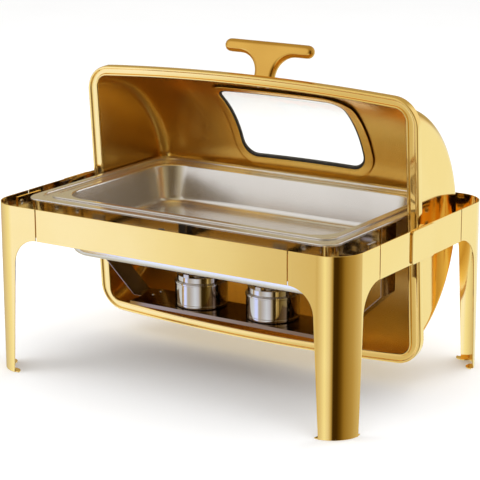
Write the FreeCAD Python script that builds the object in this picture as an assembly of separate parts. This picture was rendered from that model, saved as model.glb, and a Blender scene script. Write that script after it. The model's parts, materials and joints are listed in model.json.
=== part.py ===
import FreeCAD, Part
import math
import os

from FreeCAD import Vector

# Roll top chafer: a four-legged stand, a pan carrier with its fuel shelf, a swinging dome lid,
# a water pan, a food pan and two fuel holders.
#
# Millimetres. +X runs along the long side to the right, +Y to the back, +Z up. The origin is the
# middle of the footprint, on the surface that the legs stand on. The lid is drawn open.
#
# The food pan's flange is the size that everything else is built round: the water pan holds it,
# the lid swings over the water pan, and the stand goes round the lid's swing.

# ---- Driving dimensions: stand ----
FLOOR_CLEARANCE = 25.0        # under the open lid's lower edge
RAIL_SWING_CLEARANCE = 2.4    # between the swinging rim and the front and rear rails
RAIL_SIDE_CLEARANCE = 17.4    # between the rim's ends and the side rails: room for the pivots
FRAME_CORNER_RADIUS = 50.0
FRAME_SHEET = 1.6
RAIL_HEIGHT = 52.0
LEG_PANEL_FRONT = 96.0        # from the stand's corner to the seam, on the long sides
LEG_PANEL_SIDE = 100.0        # the same on the short sides
LEG_BLADE_TOP = 53.0          # width of the leg under its arch
LEG_BLADE_BOTTOM = 44.0
FOOT_TAB_RADIUS = 14.0
FOOT_TAB_THICKNESS = 2.0
SEAM_GAP = 1.8

# ---- Joint plates behind the seams ----
PLATE_LENGTH = 60.0
PLATE_MARGIN = 6.0            # from the rail's top and bottom edges
PLATE_THICKNESS = 2.0
SCREW_SHANK_RADIUS = 2.5
SCREW_HEAD_RADIUS = 4.5
SCREW_HEAD_HEIGHT = 2.5
SCREW_HEAD_ROUNDING = 1.0
SCREW_HOLE_CLEARANCE = 0.1

# ---- Lid pivots ----
PIVOT_COVER_LENGTH = 72.0
PIVOT_COVER_THICKNESS = 3.0
PIVOT_COVER_CORNER = 6.0
PIVOT_PIN_RADIUS = 5.0
PIVOT_STUD_STEP = 1.0         # the threaded end is this much thinner than the shank, in radius
PIVOT_STUD_PROUD = 1.0        # beyond the nut
PIVOT_RUNNING_CLEARANCE = 0.05
PIVOT_NUT_WALL = 3.0
PIVOT_NUT_THICKNESS = 5.0
PIVOT_NUT_GAP = 0.4
BRACKET_PLATE = 3.0
BRACKET_LENGTH = 92.0
BRACKET_MARGIN = 2.0
BOSS_WALL = 7.0
WASHER_WALL = 6.0
WASHER_THICKNESS = 0.8
WASHER_GAP = 0.1
STOP_PIN_RADIUS = 2.5
STOP_GAP = 0.3
STOP_EDGE = 1.7               # bracket metal left under the stop pin

# ---- Lid, measured from the pivot axis with the lid closed ----
LID_OPEN_ANGLE = 86.0
LID_END_CLEARANCE = 6.0       # between the pan's flange and the outside of the flat end walls
LID_ROLL_CLEARANCE = 4.86     # between the pan's flange and the outside of the barrel
LID_BULGE = 11.5              # the barrel is this much larger half-way along, in radius
LID_EDGE_RADIUS = 18.0        # rounding between barrel and end wall
LID_SHEET = 1.0
RIM_HEIGHT = 28.0             # the mouth plane lies this far above the pivot axis
RIM_SIDE_WIDTH = 19.0         # flange beyond the end walls
RIM_DEPTH_WIDTH = 14.4        # flange beyond the mouth's long edges
RIM_CORNER_RADIUS = 42.0
RIM_PLATE = 1.2
RIM_SKIRT_HEIGHT = 10.0
RIM_SKIRT_THICKNESS = 1.6
RIM_BEAD_WIDTH = 5.0
RIM_BEAD_HEIGHT = 2.6
RIM_RIDGE_WIDTH = 4.0         # beyond the dome

# ---- Window ----
WINDOW_HALF_WIDTH = 121.0
WINDOW_HALF_HEIGHT = 80.0     # half the chord of its arc
WINDOW_CORNER_RADIUS = 28.0
WINDOW_CENTRE_ANGLE = 57.4    # degrees up from the front edge, about the pivot axis
BEZEL_WIDTH = 15.0
BEZEL_THICKNESS = 1.4
GASKET_WIDTH = 3.0
GLASS_THICKNESS = 3.0
GLASS_OVERLAP = 9.0
RETAINER_THICKNESS = 1.4

# ---- Lid handle ----
HANDLE_ANGLE = 23.0           # degrees up from the front edge
HANDLE_LENGTH = 168.0
HANDLE_REACH = 72.0
HANDLE_BAR_HEIGHT = 22.0
HANDLE_THICKNESS = 17.0
HANDLE_STEM_WIDTH = 37.0
HANDLE_THROAT_RADIUS = 33.0
HANDLE_EDGE_RADIUS = 7.5
HANDLE_SCREW_PITCH = 18.0
HANDLE_SCREW_DEPTH = 12.0     # of the hole in the handle
HANDLE_SCREW_END_GAP = 1.0

# ---- Lid hinge plates ----
HINGE_PLATE = 3.0
HINGE_RIVET_EDGE = 7.0        # from the plate's edges to the rivets' centres
RIVET_SHANK_RADIUS = 2.0
RIVET_HEAD_RADIUS = 3.5
RIVET_HEAD_HEIGHT = 1.6
RIVET_HOLE_CLEARANCE = 0.1

# ---- Pans ----
FOOD_FLANGE_LENGTH = 530.0
FOOD_FLANGE_DEPTH = 325.0
FOOD_BODY_INSET = 15.0        # from the flange's edge to the body
FOOD_PAN_DEPTH = 65.0
FOOD_TAPER = 12.0
FOOD_CORNER_RADIUS = 48.0
FOOD_FLOOR_RADIUS = 16.0
FOOD_BORDER_WIDTH = 4.0       # raised border round the flange
WATER_GAP = 8.0               # between the food pan's body and the water pan's wall
WATER_PAN_DEPTH = 98.0
WATER_TAPER = 8.0
WATER_CORNER_RADIUS = 54.0
WATER_FLOOR_RADIUS = 28.0
WATER_FLANGE_SIDE = 21.0      # beyond the food pan's flange at its short sides
WATER_FLANGE_FRONT = 30.0     # the same at its long sides
WATER_FLANGE_CORNER = 24.0
WATER_RIM_WIDTH = 10.0
WATER_RIM_HEIGHT = 2.8
PAN_SHEET = 0.8
FLANGE_SHEET = 1.2
PAN_SEAT_RISE = 2.0           # from the rails' top to the underside of the water pan's flange

# ---- Pan carrier and apron ----
CARRIER_INSET = 4.5           # from the water pan flange's edge to the carrier ring
CARRIER_LEDGE = 2.0
CARRIER_CLEARANCE = 1.5       # the ring's opening beyond the food pan's flange
APRON_THICKNESS = 1.5
APRON_HEIGHT = 40.0
APRON_END_Y = -49.0
APRON_CORNER = 22.0
ARM_WIDTH = 24.0
ARM_THICKNESS = 2.0
ARM_TAB_HEIGHT = 22.0
ARM_FRONT_X = 170.0
REST_WIDTH = 24.0
REST_GAP = 0.6
BUMPER_RADIUS = 5.5
BUMPER_HEIGHT = 23.0

# ---- Fuel shelf ----
FLAME_ROOM = 35.0             # from the fuel covers up to the water pan
SHELF_HALF_LENGTH = 178.0
SHELF_FRONT_Y = -60.0
SHELF_SHEET = 1.5
SHELF_LIP = 6.0
SHELF_LIP_CLEARANCE = 0.5     # between the hangers' feet and the back lip
HANGER_WIDTH = 44.0
HANGER_TAB = 9.5              # length of the top tab that turns outwards under the carrier
HANGER_FOOT = 38.0
HANGER_BEND_DROP = 20.2       # from the water pan's underside down to the hangers' bend
HANGER_OVERHANG = 20.0        # level stretch beyond the shelf's end

# ---- Fuel holders ----
CUP_X = 69.0
CUP_Y = -10.0
CUP_RADIUS = 43.2
CUP_HEIGHT = 42.0
CUP_WALL = 1.0
CUP_RING_PROUD = 1.1
CUP_RING_HEIGHT = 3.5
COVER_STEP = 3.0              # the collar stands this far inside the cup's edge
COVER_HEIGHT = 10.2
COVER_SHEET = 1.2
COVER_SKIRT = 6.0
COVER_SKIRT_CLEARANCE = 0.5
COVER_HOLE_RADIUS = 27.0
DAMPER_OVERLAP = 3.0
DAMPER_THICKNESS = 1.2
DAMPER_GAP = 0.3
DAMPER_PIVOT_RADIUS = 2.0
DAMPER_CAP_RADIUS = 3.6
DAMPER_CAP_THICKNESS = 1.0
DAMPER_LUG_RADIUS = 5.0
DAMPER_TAB_LENGTH = 14.0
DAMPER_TAB_WIDTH = 10.0

# ---- Places that follow from the sizes above: across ----
FOOD_HALF_X = FOOD_FLANGE_LENGTH / 2
FOOD_HALF_Y = FOOD_FLANGE_DEPTH / 2
FOOD_BODY_X = FOOD_HALF_X - FOOD_BODY_INSET
FOOD_BODY_Y = FOOD_HALF_Y - FOOD_BODY_INSET
FOOD_FLANGE_CORNER = WATER_FLANGE_CORNER - FLANGE_SHEET
WATER_HALF_X = FOOD_HALF_X + WATER_FLANGE_SIDE
WATER_HALF_Y = FOOD_HALF_Y + WATER_FLANGE_FRONT
WATER_BODY_X = FOOD_BODY_X + WATER_GAP
WATER_BODY_Y = FOOD_BODY_Y + WATER_GAP
RING_HALF_X = WATER_HALF_X - CARRIER_INSET
RING_HALF_Y = WATER_HALF_Y - CARRIER_INSET
APRON_OUTER_X = RING_HALF_X + APRON_THICKNESS
APRON_OUTER_Y = RING_HALF_Y + APRON_THICKNESS
HANGER_X = RING_HALF_X - HANGER_TAB
SHELF_BACK_Y = HANGER_WIDTH / 2 + SHELF_LIP_CLEARANCE + SHELF_SHEET

# ---- The lid, from the pivot axis ----
PAN_TOP_RISE = RAIL_HEIGHT / 2 + PAN_SEAT_RISE + FLANGE_SHEET + WATER_RIM_HEIGHT
LID_HALF_LENGTH = WATER_HALF_X + LID_END_CLEARANCE
LID_END_RADIUS = math.hypot(WATER_HALF_Y, PAN_TOP_RISE) + LID_ROLL_CLEARANCE
LID_MID_RADIUS = LID_END_RADIUS + LID_BULGE
RIM_HALF_X = LID_HALF_LENGTH + RIM_SIDE_WIDTH
RIM_HALF_Y_END = math.sqrt(LID_END_RADIUS**2 - RIM_HEIGHT**2) + RIM_DEPTH_WIDTH
RIM_HALF_Y_MID = math.sqrt(LID_MID_RADIUS**2 - RIM_HEIGHT**2) + RIM_DEPTH_WIDTH
RIM_TOP = RIM_HEIGHT - RIM_PLATE + RIM_SKIRT_HEIGHT
RIM_BOTTOM = RIM_HEIGHT - RIM_PLATE - RIM_BEAD_HEIGHT
RIM_SWING = math.hypot(RIM_HALF_Y_MID, RIM_TOP)
HINGE_HALF_WIDTH = RAIL_HEIGHT / 2 - BRACKET_MARGIN - STOP_EDGE - 2 * STOP_PIN_RADIUS - STOP_GAP
HINGE_INNER_X = RIM_HALF_X
HINGE_OUTER_X = RIM_HALF_X + HINGE_PLATE
BOSS_INNER_X = HINGE_OUTER_X + WASHER_THICKNESS + 2 * WASHER_GAP
PIVOT_STUD_RADIUS = PIVOT_PIN_RADIUS - PIVOT_STUD_STEP

# ---- The stand, round the lid's swing ----
INNER_X = RIM_HALF_X + RAIL_SIDE_CLEARANCE
INNER_Y = RIM_SWING + RAIL_SWING_CLEARANCE
HALF_X = INNER_X + FRAME_SHEET
HALF_Y = INNER_Y + FRAME_SHEET
SEAM_X = HALF_X - LEG_PANEL_FRONT - SEAM_GAP / 2
SEAM_Y = HALF_Y - LEG_PANEL_SIDE - SEAM_GAP / 2
BRACKET_INNER_X = INNER_X - BRACKET_PLATE
ARM_SIDE_Y = -(BRACKET_LENGTH / 2 + SEAM_Y - PLATE_LENGTH / 2) / 2    # between bracket and joint plate

# ---- Heights above the floor ----
PIVOT_Z = RIM_SWING + FLOOR_CLEARANCE
FRAME_HEIGHT = PIVOT_Z + RAIL_HEIGHT / 2
RAIL_BOTTOM = PIVOT_Z - RAIL_HEIGHT / 2
PAN_SEAT_Z = FRAME_HEIGHT + PAN_SEAT_RISE
FOOD_SEAT_Z = PAN_SEAT_Z + FLANGE_SHEET
WATER_FLOOR_Z = PAN_SEAT_Z + FLANGE_SHEET - WATER_PAN_DEPTH
CARRIER_TOP = PAN_SEAT_Z
CARRIER_BOTTOM = CARRIER_TOP - CARRIER_LEDGE
APRON_BOTTOM = CARRIER_TOP - APRON_HEIGHT
HANGER_BEND_Z = WATER_FLOOR_Z - HANGER_BEND_DROP
SHELF_TOP_Z = WATER_FLOOR_Z - FLAME_ROOM - CUP_HEIGHT - COVER_HEIGHT
SHELF_BOTTOM_Z = SHELF_TOP_Z - SHELF_SHEET
LID_NODES = {}
FIXED_NODES = {}


# ---- Basic solids ----
def block(x0, x1, y0, y1, z0, z1):
    """Box between two corners, given in any order."""
    low = Vector(min(x0, x1), min(y0, y1), min(z0, z1))
    return Part.makeBox(abs(x1 - x0), abs(y1 - y0), abs(z1 - z0), low)


def rod(start, end, radius):
    """Cylinder from one point to another."""
    axis = Vector(*end) - Vector(*start)
    return Part.makeCylinder(radius, axis.Length, Vector(*start), axis)


def disc(x, y, z0, z1, radius):
    """Upright cylinder."""
    return rod((x, y, z0), (x, y, z1), radius)


def edges_along_z(shape):
    """Straight edges that run parallel to Z."""
    found = []
    for edge in shape.Edges:
        span = edge.Vertexes[-1].Point - edge.Vertexes[0].Point
        if abs(span.z) > 1e-6 and math.hypot(span.x, span.y) < 1e-6:
            found.append(edge)
    return found


def rounded_block(half_x, half_y, radius, z0, z1):
    """Box centred on the Z axis with rounded upright corners."""
    body = block(-half_x, half_x, -half_y, half_y, z0, z1)
    return body.makeFillet(radius, edges_along_z(body))


def prism(points, direction):
    """Straight-sided outline, pushed along a direction."""
    wire = Part.makePolygon([Vector(*point) for point in points + points[:1]])
    return Part.Face(wire).extrude(Vector(*direction))


def joined(shapes):
    """One solid out of touching or overlapping shapes."""
    return shapes[0].fuse(shapes[1:]).removeSplitter()


def mirrored_x(shape):
    """Copy on the other side of the YZ plane."""
    return shape.mirror(Vector(0, 0, 0), Vector(1, 0, 0))


def mirrored_y(shape):
    """Copy on the other side of the XZ plane."""
    return shape.mirror(Vector(0, 0, 0), Vector(0, 1, 0))


def add_pair(nodes, name, shape_right):
    """Store a part as NAME_right and its mirror image as NAME_left."""
    nodes[name + "_right"] = shape_right
    nodes[name + "_left"] = mirrored_x(shape_right)


# ---- Stand: legs and rails ----
def frame_wall(z0, z1):
    """The stand's rounded rectangular wall, one sheet thick."""
    outside = rounded_block(HALF_X, HALF_Y, FRAME_CORNER_RADIUS, z0, z1)
    inside = rounded_block(INNER_X, INNER_Y, FRAME_CORNER_RADIUS - FRAME_SHEET, z0, z1)
    return outside.cut(inside)


def blade_cutout(panel):
    """What is cut from one flat of a leg, drawn in XZ from the stand's corner at x = 0."""
    arch = panel - LEG_BLADE_TOP
    start = Vector(panel + 1, 0, RAIL_BOTTOM)
    crown = Vector(panel, 0, RAIL_BOTTOM)
    along = arch * math.sin(math.pi / 4)
    down = arch * (1 - math.cos(math.pi / 4))
    middle = Vector(panel - along, 0, RAIL_BOTTOM - down)
    spring = Vector(LEG_BLADE_TOP, 0, RAIL_BOTTOM - arch)
    toe = Vector(LEG_BLADE_BOTTOM, 0, 0)
    floor_end = Vector(panel + 1, 0, 0)
    edges = [
        Part.makeLine(start, crown),
        Part.Arc(crown, middle, spring).toShape(),
        Part.makeLine(spring, toe),
        Part.makeLine(toe, floor_end),
        Part.makeLine(floor_end, start),
    ]
    return Part.Face(Part.Wire(edges))


def foot_tabs():
    """Half-round tabs folded inwards at the two toes of the front right leg."""
    inside = rounded_block(INNER_X, INNER_Y, FRAME_CORNER_RADIUS - FRAME_SHEET, 0, FOOT_TAB_THICKNESS)
    from_corner = LEG_BLADE_BOTTOM - FOOT_TAB_RADIUS / 2
    front = disc(HALF_X - from_corner, -INNER_Y, 0, FOOT_TAB_THICKNESS, FOOT_TAB_RADIUS)
    side = disc(INNER_X, -HALF_Y + from_corner, 0, FOOT_TAB_THICKNESS, FOOT_TAB_RADIUS)
    return [front.common(inside), side.common(inside)]


def leg_front_right():
    """Bent sheet corner leg with an arch under each flat and two foot tabs."""
    corner = block(HALF_X - LEG_PANEL_FRONT, HALF_X, -HALF_Y, -HALF_Y + LEG_PANEL_SIDE, 0, FRAME_HEIGHT)
    leg = frame_wall(0, FRAME_HEIGHT).common(corner)
    front_cut = blade_cutout(LEG_PANEL_FRONT).extrude(Vector(0, LEG_PANEL_SIDE, 0))
    front_cut = mirrored_x(front_cut)
    front_cut.translate(Vector(HALF_X, -HALF_Y, 0))
    side_cut = blade_cutout(LEG_PANEL_SIDE).extrude(Vector(0, LEG_PANEL_FRONT, 0))
    side_cut.rotate(Vector(0, 0, 0), Vector(0, 0, 1), 90)
    side_cut.translate(Vector(HALF_X, -HALF_Y, 0))
    return joined([leg.cut([front_cut, side_cut])] + foot_tabs())


def add_legs():
    """Four legs, mirror images of one another."""
    leg = leg_front_right()
    add_pair(FIXED_NODES, "leg_front", leg)
    add_pair(FIXED_NODES, "leg_rear", mirrored_y(leg))


def add_rails():
    """Four straight rails between the legs. The side rails carry the pivot pins."""
    long_end = HALF_X - LEG_PANEL_FRONT - SEAM_GAP
    front = block(-long_end, long_end, -HALF_Y, -INNER_Y, RAIL_BOTTOM, FRAME_HEIGHT)
    FIXED_NODES["rail_front"] = front
    FIXED_NODES["rail_rear"] = mirrored_y(front)
    short_end = HALF_Y - LEG_PANEL_SIDE - SEAM_GAP
    side = block(INNER_X, HALF_X, -short_end, short_end, RAIL_BOTTOM, FRAME_HEIGHT)
    hole = rod((INNER_X, 0, PIVOT_Z), (HALF_X, 0, PIVOT_Z), PIVOT_PIN_RADIUS)
    add_pair(FIXED_NODES, "rail", side.cut(hole))


def plate_screw_places():
    """Screw centres on a joint plate, along its length and in height."""
    along = PLATE_LENGTH / 2 - SCREW_HEAD_RADIUS * 2
    up = RAIL_HEIGHT / 2 - PLATE_MARGIN - SCREW_HEAD_RADIUS * 2
    return [(a, PIVOT_Z + u) for a in (-along, along) for u in (-up, up)]


def plate_and_screws(seam_x):
    """Joint plate behind the front seam at seam_x, with its four screws."""
    face_y = -INNER_Y + PLATE_THICKNESS
    low = RAIL_BOTTOM + PLATE_MARGIN
    high = FRAME_HEIGHT - PLATE_MARGIN
    plate = block(seam_x - PLATE_LENGTH / 2, seam_x + PLATE_LENGTH / 2, -INNER_Y, face_y, low, high)
    screws = []
    for along, z in plate_screw_places():
        x = seam_x + along
        hole_radius = SCREW_SHANK_RADIUS + SCREW_HOLE_CLEARANCE
        plate = plate.cut(rod((x, -INNER_Y, z), (x, face_y, z), hole_radius))
        shank = rod((x, -INNER_Y, z), (x, face_y, z), SCREW_SHANK_RADIUS)
        head = rod((x, face_y, z), (x, face_y + SCREW_HEAD_HEIGHT, z), SCREW_HEAD_RADIUS)
        rim = [edge for edge in head.Edges if abs(edge.CenterOfMass.y - face_y - SCREW_HEAD_HEIGHT) < 1e-6]
        screws.append(joined([shank, head.makeFillet(SCREW_HEAD_ROUNDING, rim)]))
    return plate, screws


def add_joint_plates():
    """Eight joint plates, one behind each seam, and their screws in one group."""
    plate, screws = plate_and_screws(SEAM_X)
    add_pair(FIXED_NODES, "joint_plate_front", plate)
    add_pair(FIXED_NODES, "joint_plate_rear", mirrored_y(plate))
    side_plate, side_screws = plate_and_screws(SEAM_Y)
    for shape in [side_plate] + side_screws:
        shape.rotate(Vector(0, 0, 0), Vector(0, 0, 1), 90)
        shape.translate(Vector(INNER_X - INNER_Y, 0, 0))
    add_pair(FIXED_NODES, "joint_plate_side_rear", side_plate)
    add_pair(FIXED_NODES, "joint_plate_side_front", mirrored_y(side_plate))
    corner = screws + side_screws
    back = corner + [mirrored_y(screw) for screw in corner]
    FIXED_NODES["joint_screws"] = Part.makeCompound(back + [mirrored_x(screw) for screw in back])


# ---- Pivots ----
def pivot_cover():
    """Plate with rounded corners over the right pivot, outside the side rail."""
    half = PIVOT_COVER_LENGTH / 2
    cover = block(HALF_X, HALF_X + PIVOT_COVER_THICKNESS, -half, half, RAIL_BOTTOM, FRAME_HEIGHT)
    corners = []
    for edge in cover.Edges:
        span = edge.Vertexes[-1].Point - edge.Vertexes[0].Point
        if abs(span.y) < 1e-6 and abs(span.z) < 1e-6:
            corners.append(edge)
    return cover.makeFillet(PIVOT_COVER_CORNER, corners)


def stop_pin_place():
    """Centre of the right stop pin: the open hinge plate's lower edge rests against it."""
    local_y = HINGE_HALF_WIDTH + STOP_GAP + STOP_PIN_RADIUS
    local_z = RIM_HEIGHT + RIM_SKIRT_HEIGHT / 2
    turn = math.radians(-LID_OPEN_ANGLE)
    y = local_y * math.cos(turn) - local_z * math.sin(turn)
    z = local_y * math.sin(turn) + local_z * math.cos(turn)
    return y, PIVOT_Z + z


def pivot_bracket():
    """Plate inside the right side rail with a boss for the pivot pin and a hole for the stop pin."""
    low = RAIL_BOTTOM + BRACKET_MARGIN
    high = FRAME_HEIGHT - BRACKET_MARGIN
    half = BRACKET_LENGTH / 2
    plate = block(BRACKET_INNER_X, INNER_X, -half, half, low, high)
    boss = rod((BOSS_INNER_X, 0, PIVOT_Z), (BRACKET_INNER_X, 0, PIVOT_Z), PIVOT_PIN_RADIUS + BOSS_WALL)
    hole = rod((BOSS_INNER_X, 0, PIVOT_Z), (INNER_X, 0, PIVOT_Z), PIVOT_PIN_RADIUS)
    stop_y, stop_z = stop_pin_place()
    stop_hole = rod((BRACKET_INNER_X, stop_y, stop_z), (INNER_X, stop_y, stop_z), STOP_PIN_RADIUS)
    return joined([plate, boss]).cut([hole, stop_hole])


def stop_pin():
    """Pin that holds the open lid at its stop."""
    y, z = stop_pin_place()
    return rod((HINGE_INNER_X + WASHER_THICKNESS, y, z), (INNER_X, y, z), STOP_PIN_RADIUS)


def pivot_pin():
    """Right pivot pin: a plain shank with a thinner threaded end inside the hinge plate."""
    shoulder = HINGE_INNER_X - PIVOT_NUT_GAP
    end = shoulder - PIVOT_NUT_THICKNESS - PIVOT_STUD_PROUD
    shank = rod((shoulder, 0, PIVOT_Z), (HALF_X, 0, PIVOT_Z), PIVOT_PIN_RADIUS)
    stud = rod((end, 0, PIVOT_Z), (shoulder, 0, PIVOT_Z), PIVOT_STUD_RADIUS)
    return joined([shank, stud])


def pivot_nut():
    """Hexagon nut on the inner end of the right pivot pin."""
    start = HINGE_INNER_X - PIVOT_NUT_GAP - PIVOT_NUT_THICKNESS
    corner = (PIVOT_STUD_RADIUS + PIVOT_NUT_WALL) / math.cos(math.pi / 6)
    points = []
    for side in range(6):
        turn = math.radians(60 * side)
        points.append((start, corner * math.cos(turn), PIVOT_Z + corner * math.sin(turn)))
    nut = prism(points, (PIVOT_NUT_THICKNESS, 0, 0))
    return nut.cut(rod((start, 0, PIVOT_Z), (start + PIVOT_NUT_THICKNESS, 0, PIVOT_Z), PIVOT_STUD_RADIUS))


def pivot_washer():
    """Nylon washer between the right hinge plate and the boss."""
    start = HINGE_OUTER_X + WASHER_GAP
    end = start + WASHER_THICKNESS
    ring = rod((start, 0, PIVOT_Z), (end, 0, PIVOT_Z), PIVOT_PIN_RADIUS + WASHER_WALL)
    return ring.cut(rod((start, 0, PIVOT_Z), (end, 0, PIVOT_Z), PIVOT_PIN_RADIUS + PIVOT_RUNNING_CLEARANCE))


def add_pivots():
    """Everything at the lid's two pivots that stays with the stand."""
    add_pair(FIXED_NODES, "pivot_cover", pivot_cover())
    add_pair(FIXED_NODES, "pivot_bracket", pivot_bracket())
    add_pair(FIXED_NODES, "stop_pin", stop_pin())
    add_pair(FIXED_NODES, "pivot_pin", pivot_pin())
    add_pair(FIXED_NODES, "pivot_nut", pivot_nut())
    washer = pivot_washer()
    FIXED_NODES["pivot_washers"] = Part.makeCompound([washer, mirrored_x(washer)])


# ---- Pan carrier, apron and arms ----
def carrier_hole():
    """Opening of the carrier ring, wider than the food pan's flange."""
    half_x = FOOD_HALF_X + CARRIER_CLEARANCE
    half_y = FOOD_HALF_Y + CARRIER_CLEARANCE
    corner = FOOD_FLANGE_CORNER + CARRIER_CLEARANCE
    return rounded_block(half_x, half_y, corner, CARRIER_BOTTOM, CARRIER_TOP)


def hanger_rivet_places():
    """Rivet centres on the hangers' top tabs, right side."""
    x = HANGER_X + (RING_HALF_X - HANGER_X) / 2
    y = HANGER_WIDTH / 4
    return [(x, -y), (x, y)]


def pan_carrier():
    """Flat ring under the water pan's flange."""
    ring = rounded_block(RING_HALF_X, RING_HALF_Y, APRON_CORNER - APRON_THICKNESS, CARRIER_BOTTOM, CARRIER_TOP)
    ring = ring.cut(carrier_hole())
    radius = RIVET_SHANK_RADIUS + RIVET_HOLE_CLEARANCE
    for x, y in hanger_rivet_places():
        for side in (-1, 1):
            ring = ring.cut(disc(side * x, y, CARRIER_BOTTOM, CARRIER_TOP, radius))
    return ring


def carrier_apron():
    """Upright skirt round the front half of the carrier ring."""
    outside = rounded_block(APRON_OUTER_X, APRON_OUTER_Y, APRON_CORNER, APRON_BOTTOM, CARRIER_TOP)
    inside = rounded_block(RING_HALF_X, RING_HALF_Y, APRON_CORNER - APRON_THICKNESS, APRON_BOTTOM, CARRIER_TOP)
    front = block(-APRON_OUTER_X, APRON_OUTER_X, -APRON_OUTER_Y, APRON_END_Y, APRON_BOTTOM, CARRIER_TOP)
    return outside.cut(inside).common(front)


def front_arm(x, width, z):
    """Z-shaped bracket from the front rail to the apron, its web at height z."""
    x0 = x - width / 2
    x1 = x + width / 2
    top = z + ARM_TAB_HEIGHT
    web = block(x0, x1, -INNER_Y, -APRON_OUTER_Y, z, z + ARM_THICKNESS)
    rail_tab = block(x0, x1, -INNER_Y, -INNER_Y + ARM_THICKNESS, z, top)
    apron_tab = block(x0, x1, -APRON_OUTER_Y - ARM_THICKNESS, -APRON_OUTER_Y, APRON_BOTTOM, z + ARM_THICKNESS)
    return joined([web, rail_tab, apron_tab])


def side_arm():
    """Z-shaped bracket from the right side rail to the apron."""
    y0 = ARM_SIDE_Y - ARM_WIDTH / 2
    y1 = ARM_SIDE_Y + ARM_WIDTH / 2
    top = APRON_BOTTOM + ARM_TAB_HEIGHT
    web = block(APRON_OUTER_X, INNER_X, y0, y1, APRON_BOTTOM, APRON_BOTTOM + ARM_THICKNESS)
    rail_tab = block(INNER_X - ARM_THICKNESS, INNER_X, y0, y1, APRON_BOTTOM, top)
    apron_tab = block(APRON_OUTER_X, APRON_OUTER_X + ARM_THICKNESS, y0, y1, APRON_BOTTOM, top)
    return joined([web, rail_tab, apron_tab])


def lid_rest_bumper():
    """Rubber button under the closed lid's front rim."""
    y = -(RIM_HALF_Y_MID - RIM_DEPTH_WIDTH / 2)
    top = PIVOT_Z + RIM_BOTTOM - REST_GAP
    return disc(0, y, top - BUMPER_HEIGHT, top, BUMPER_RADIUS)


def add_carrier():
    """Carrier ring, apron, the arms that hold them and the closed lid's rest."""
    FIXED_NODES["pan_carrier"] = pan_carrier()
    FIXED_NODES["carrier_apron"] = carrier_apron()
    add_pair(FIXED_NODES, "carrier_arm_front", front_arm(ARM_FRONT_X, ARM_WIDTH, APRON_BOTTOM))
    add_pair(FIXED_NODES, "carrier_arm_side", side_arm())
    bumper = lid_rest_bumper()
    FIXED_NODES["lid_rest"] = front_arm(0, REST_WIDTH, bumper.BoundBox.ZMin - ARM_THICKNESS)
    FIXED_NODES["lid_rest_bumper"] = bumper


# ---- Fuel shelf ----
def shelf_rivet_places():
    """Rivet centres at the right end of the shelf."""
    x = SHELF_HALF_LENGTH - HANGER_FOOT / 3
    y = HANGER_WIDTH / 4
    return [(x, -y), (x, y)]


def fuel_shelf():
    """Flat shelf with a lip folded down along its front and back edges."""
    half = SHELF_HALF_LENGTH
    low = SHELF_TOP_Z - SHELF_LIP
    plate = block(-half, half, SHELF_FRONT_Y, SHELF_BACK_Y, SHELF_BOTTOM_Z, SHELF_TOP_Z)
    front = block(-half, half, SHELF_FRONT_Y, SHELF_FRONT_Y + SHELF_SHEET, low, SHELF_TOP_Z)
    back = block(-half, half, SHELF_BACK_Y - SHELF_SHEET, SHELF_BACK_Y, low, SHELF_TOP_Z)
    shelf = joined([plate, front, back])
    radius = RIVET_SHANK_RADIUS + RIVET_HOLE_CLEARANCE
    for x, y in shelf_rivet_places():
        for side in (-1, 1):
            shelf = shelf.cut(disc(side * x, y, SHELF_BOTTOM_Z, SHELF_TOP_Z, radius))
    return shelf


def hanger_strip():
    """Bent strip from under the right end of the shelf up to the carrier ring."""
    foot_x = SHELF_HALF_LENGTH + HANGER_OVERHANG
    half = SHELF_SHEET / 2
    foot_z = SHELF_BOTTOM_Z - half
    tab_z = CARRIER_BOTTOM - half
    route = [
        Vector(foot_x - HANGER_FOOT, 0, foot_z),
        Vector(foot_x, 0, foot_z),
        Vector(HANGER_X, 0, HANGER_BEND_Z),
        Vector(HANGER_X, 0, tab_z),
        Vector(RING_HALF_X, 0, tab_z),
    ]
    profile = Part.makePolygon(route).makeOffset2D(half, 2, True, True, False)
    other = Part.makePolygon(route).makeOffset2D(-half, 2, True, True, False)
    strip = [face.extrude(Vector(0, HANGER_WIDTH, 0)) for face in (profile, other)]
    body = joined(strip)
    body.translate(Vector(0, -HANGER_WIDTH / 2, 0))
    radius = RIVET_SHANK_RADIUS + RIVET_HOLE_CLEARANCE
    for x, y in shelf_rivet_places():
        body = body.cut(disc(x, y, SHELF_BOTTOM_Z - SHELF_SHEET, SHELF_BOTTOM_Z, radius))
    for x, y in hanger_rivet_places():
        body = body.cut(disc(x, y, CARRIER_BOTTOM - SHELF_SHEET, CARRIER_BOTTOM, radius))
    return body


def upright_rivet(x, y, low, high, top_head=True):
    """Rivet through a stack of sheets, with a head at each end."""
    shank = disc(x, y, low, high, RIVET_SHANK_RADIUS)
    heads = [disc(x, y, low - RIVET_HEAD_HEIGHT, low, RIVET_HEAD_RADIUS)]
    if top_head:
        heads.append(disc(x, y, high, high + RIVET_HEAD_HEIGHT, RIVET_HEAD_RADIUS))
    return joined([shank] + heads)


def add_shelf():
    """Fuel shelf, its two hangers and the rivets that join them to the carrier."""
    FIXED_NODES["fuel_shelf"] = fuel_shelf()
    add_pair(FIXED_NODES, "shelf_hanger", hanger_strip())
    rivets = []
    for x, y in shelf_rivet_places():
        rivets.append(upright_rivet(x, y, SHELF_BOTTOM_Z - SHELF_SHEET, SHELF_TOP_Z))
    for x, y in hanger_rivet_places():
        rivets.append(upright_rivet(x, y, CARRIER_BOTTOM - SHELF_SHEET, CARRIER_TOP, top_head=False))
    FIXED_NODES["shelf_rivets"] = Part.makeCompound(rivets + [mirrored_x(rivet) for rivet in rivets])


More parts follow.
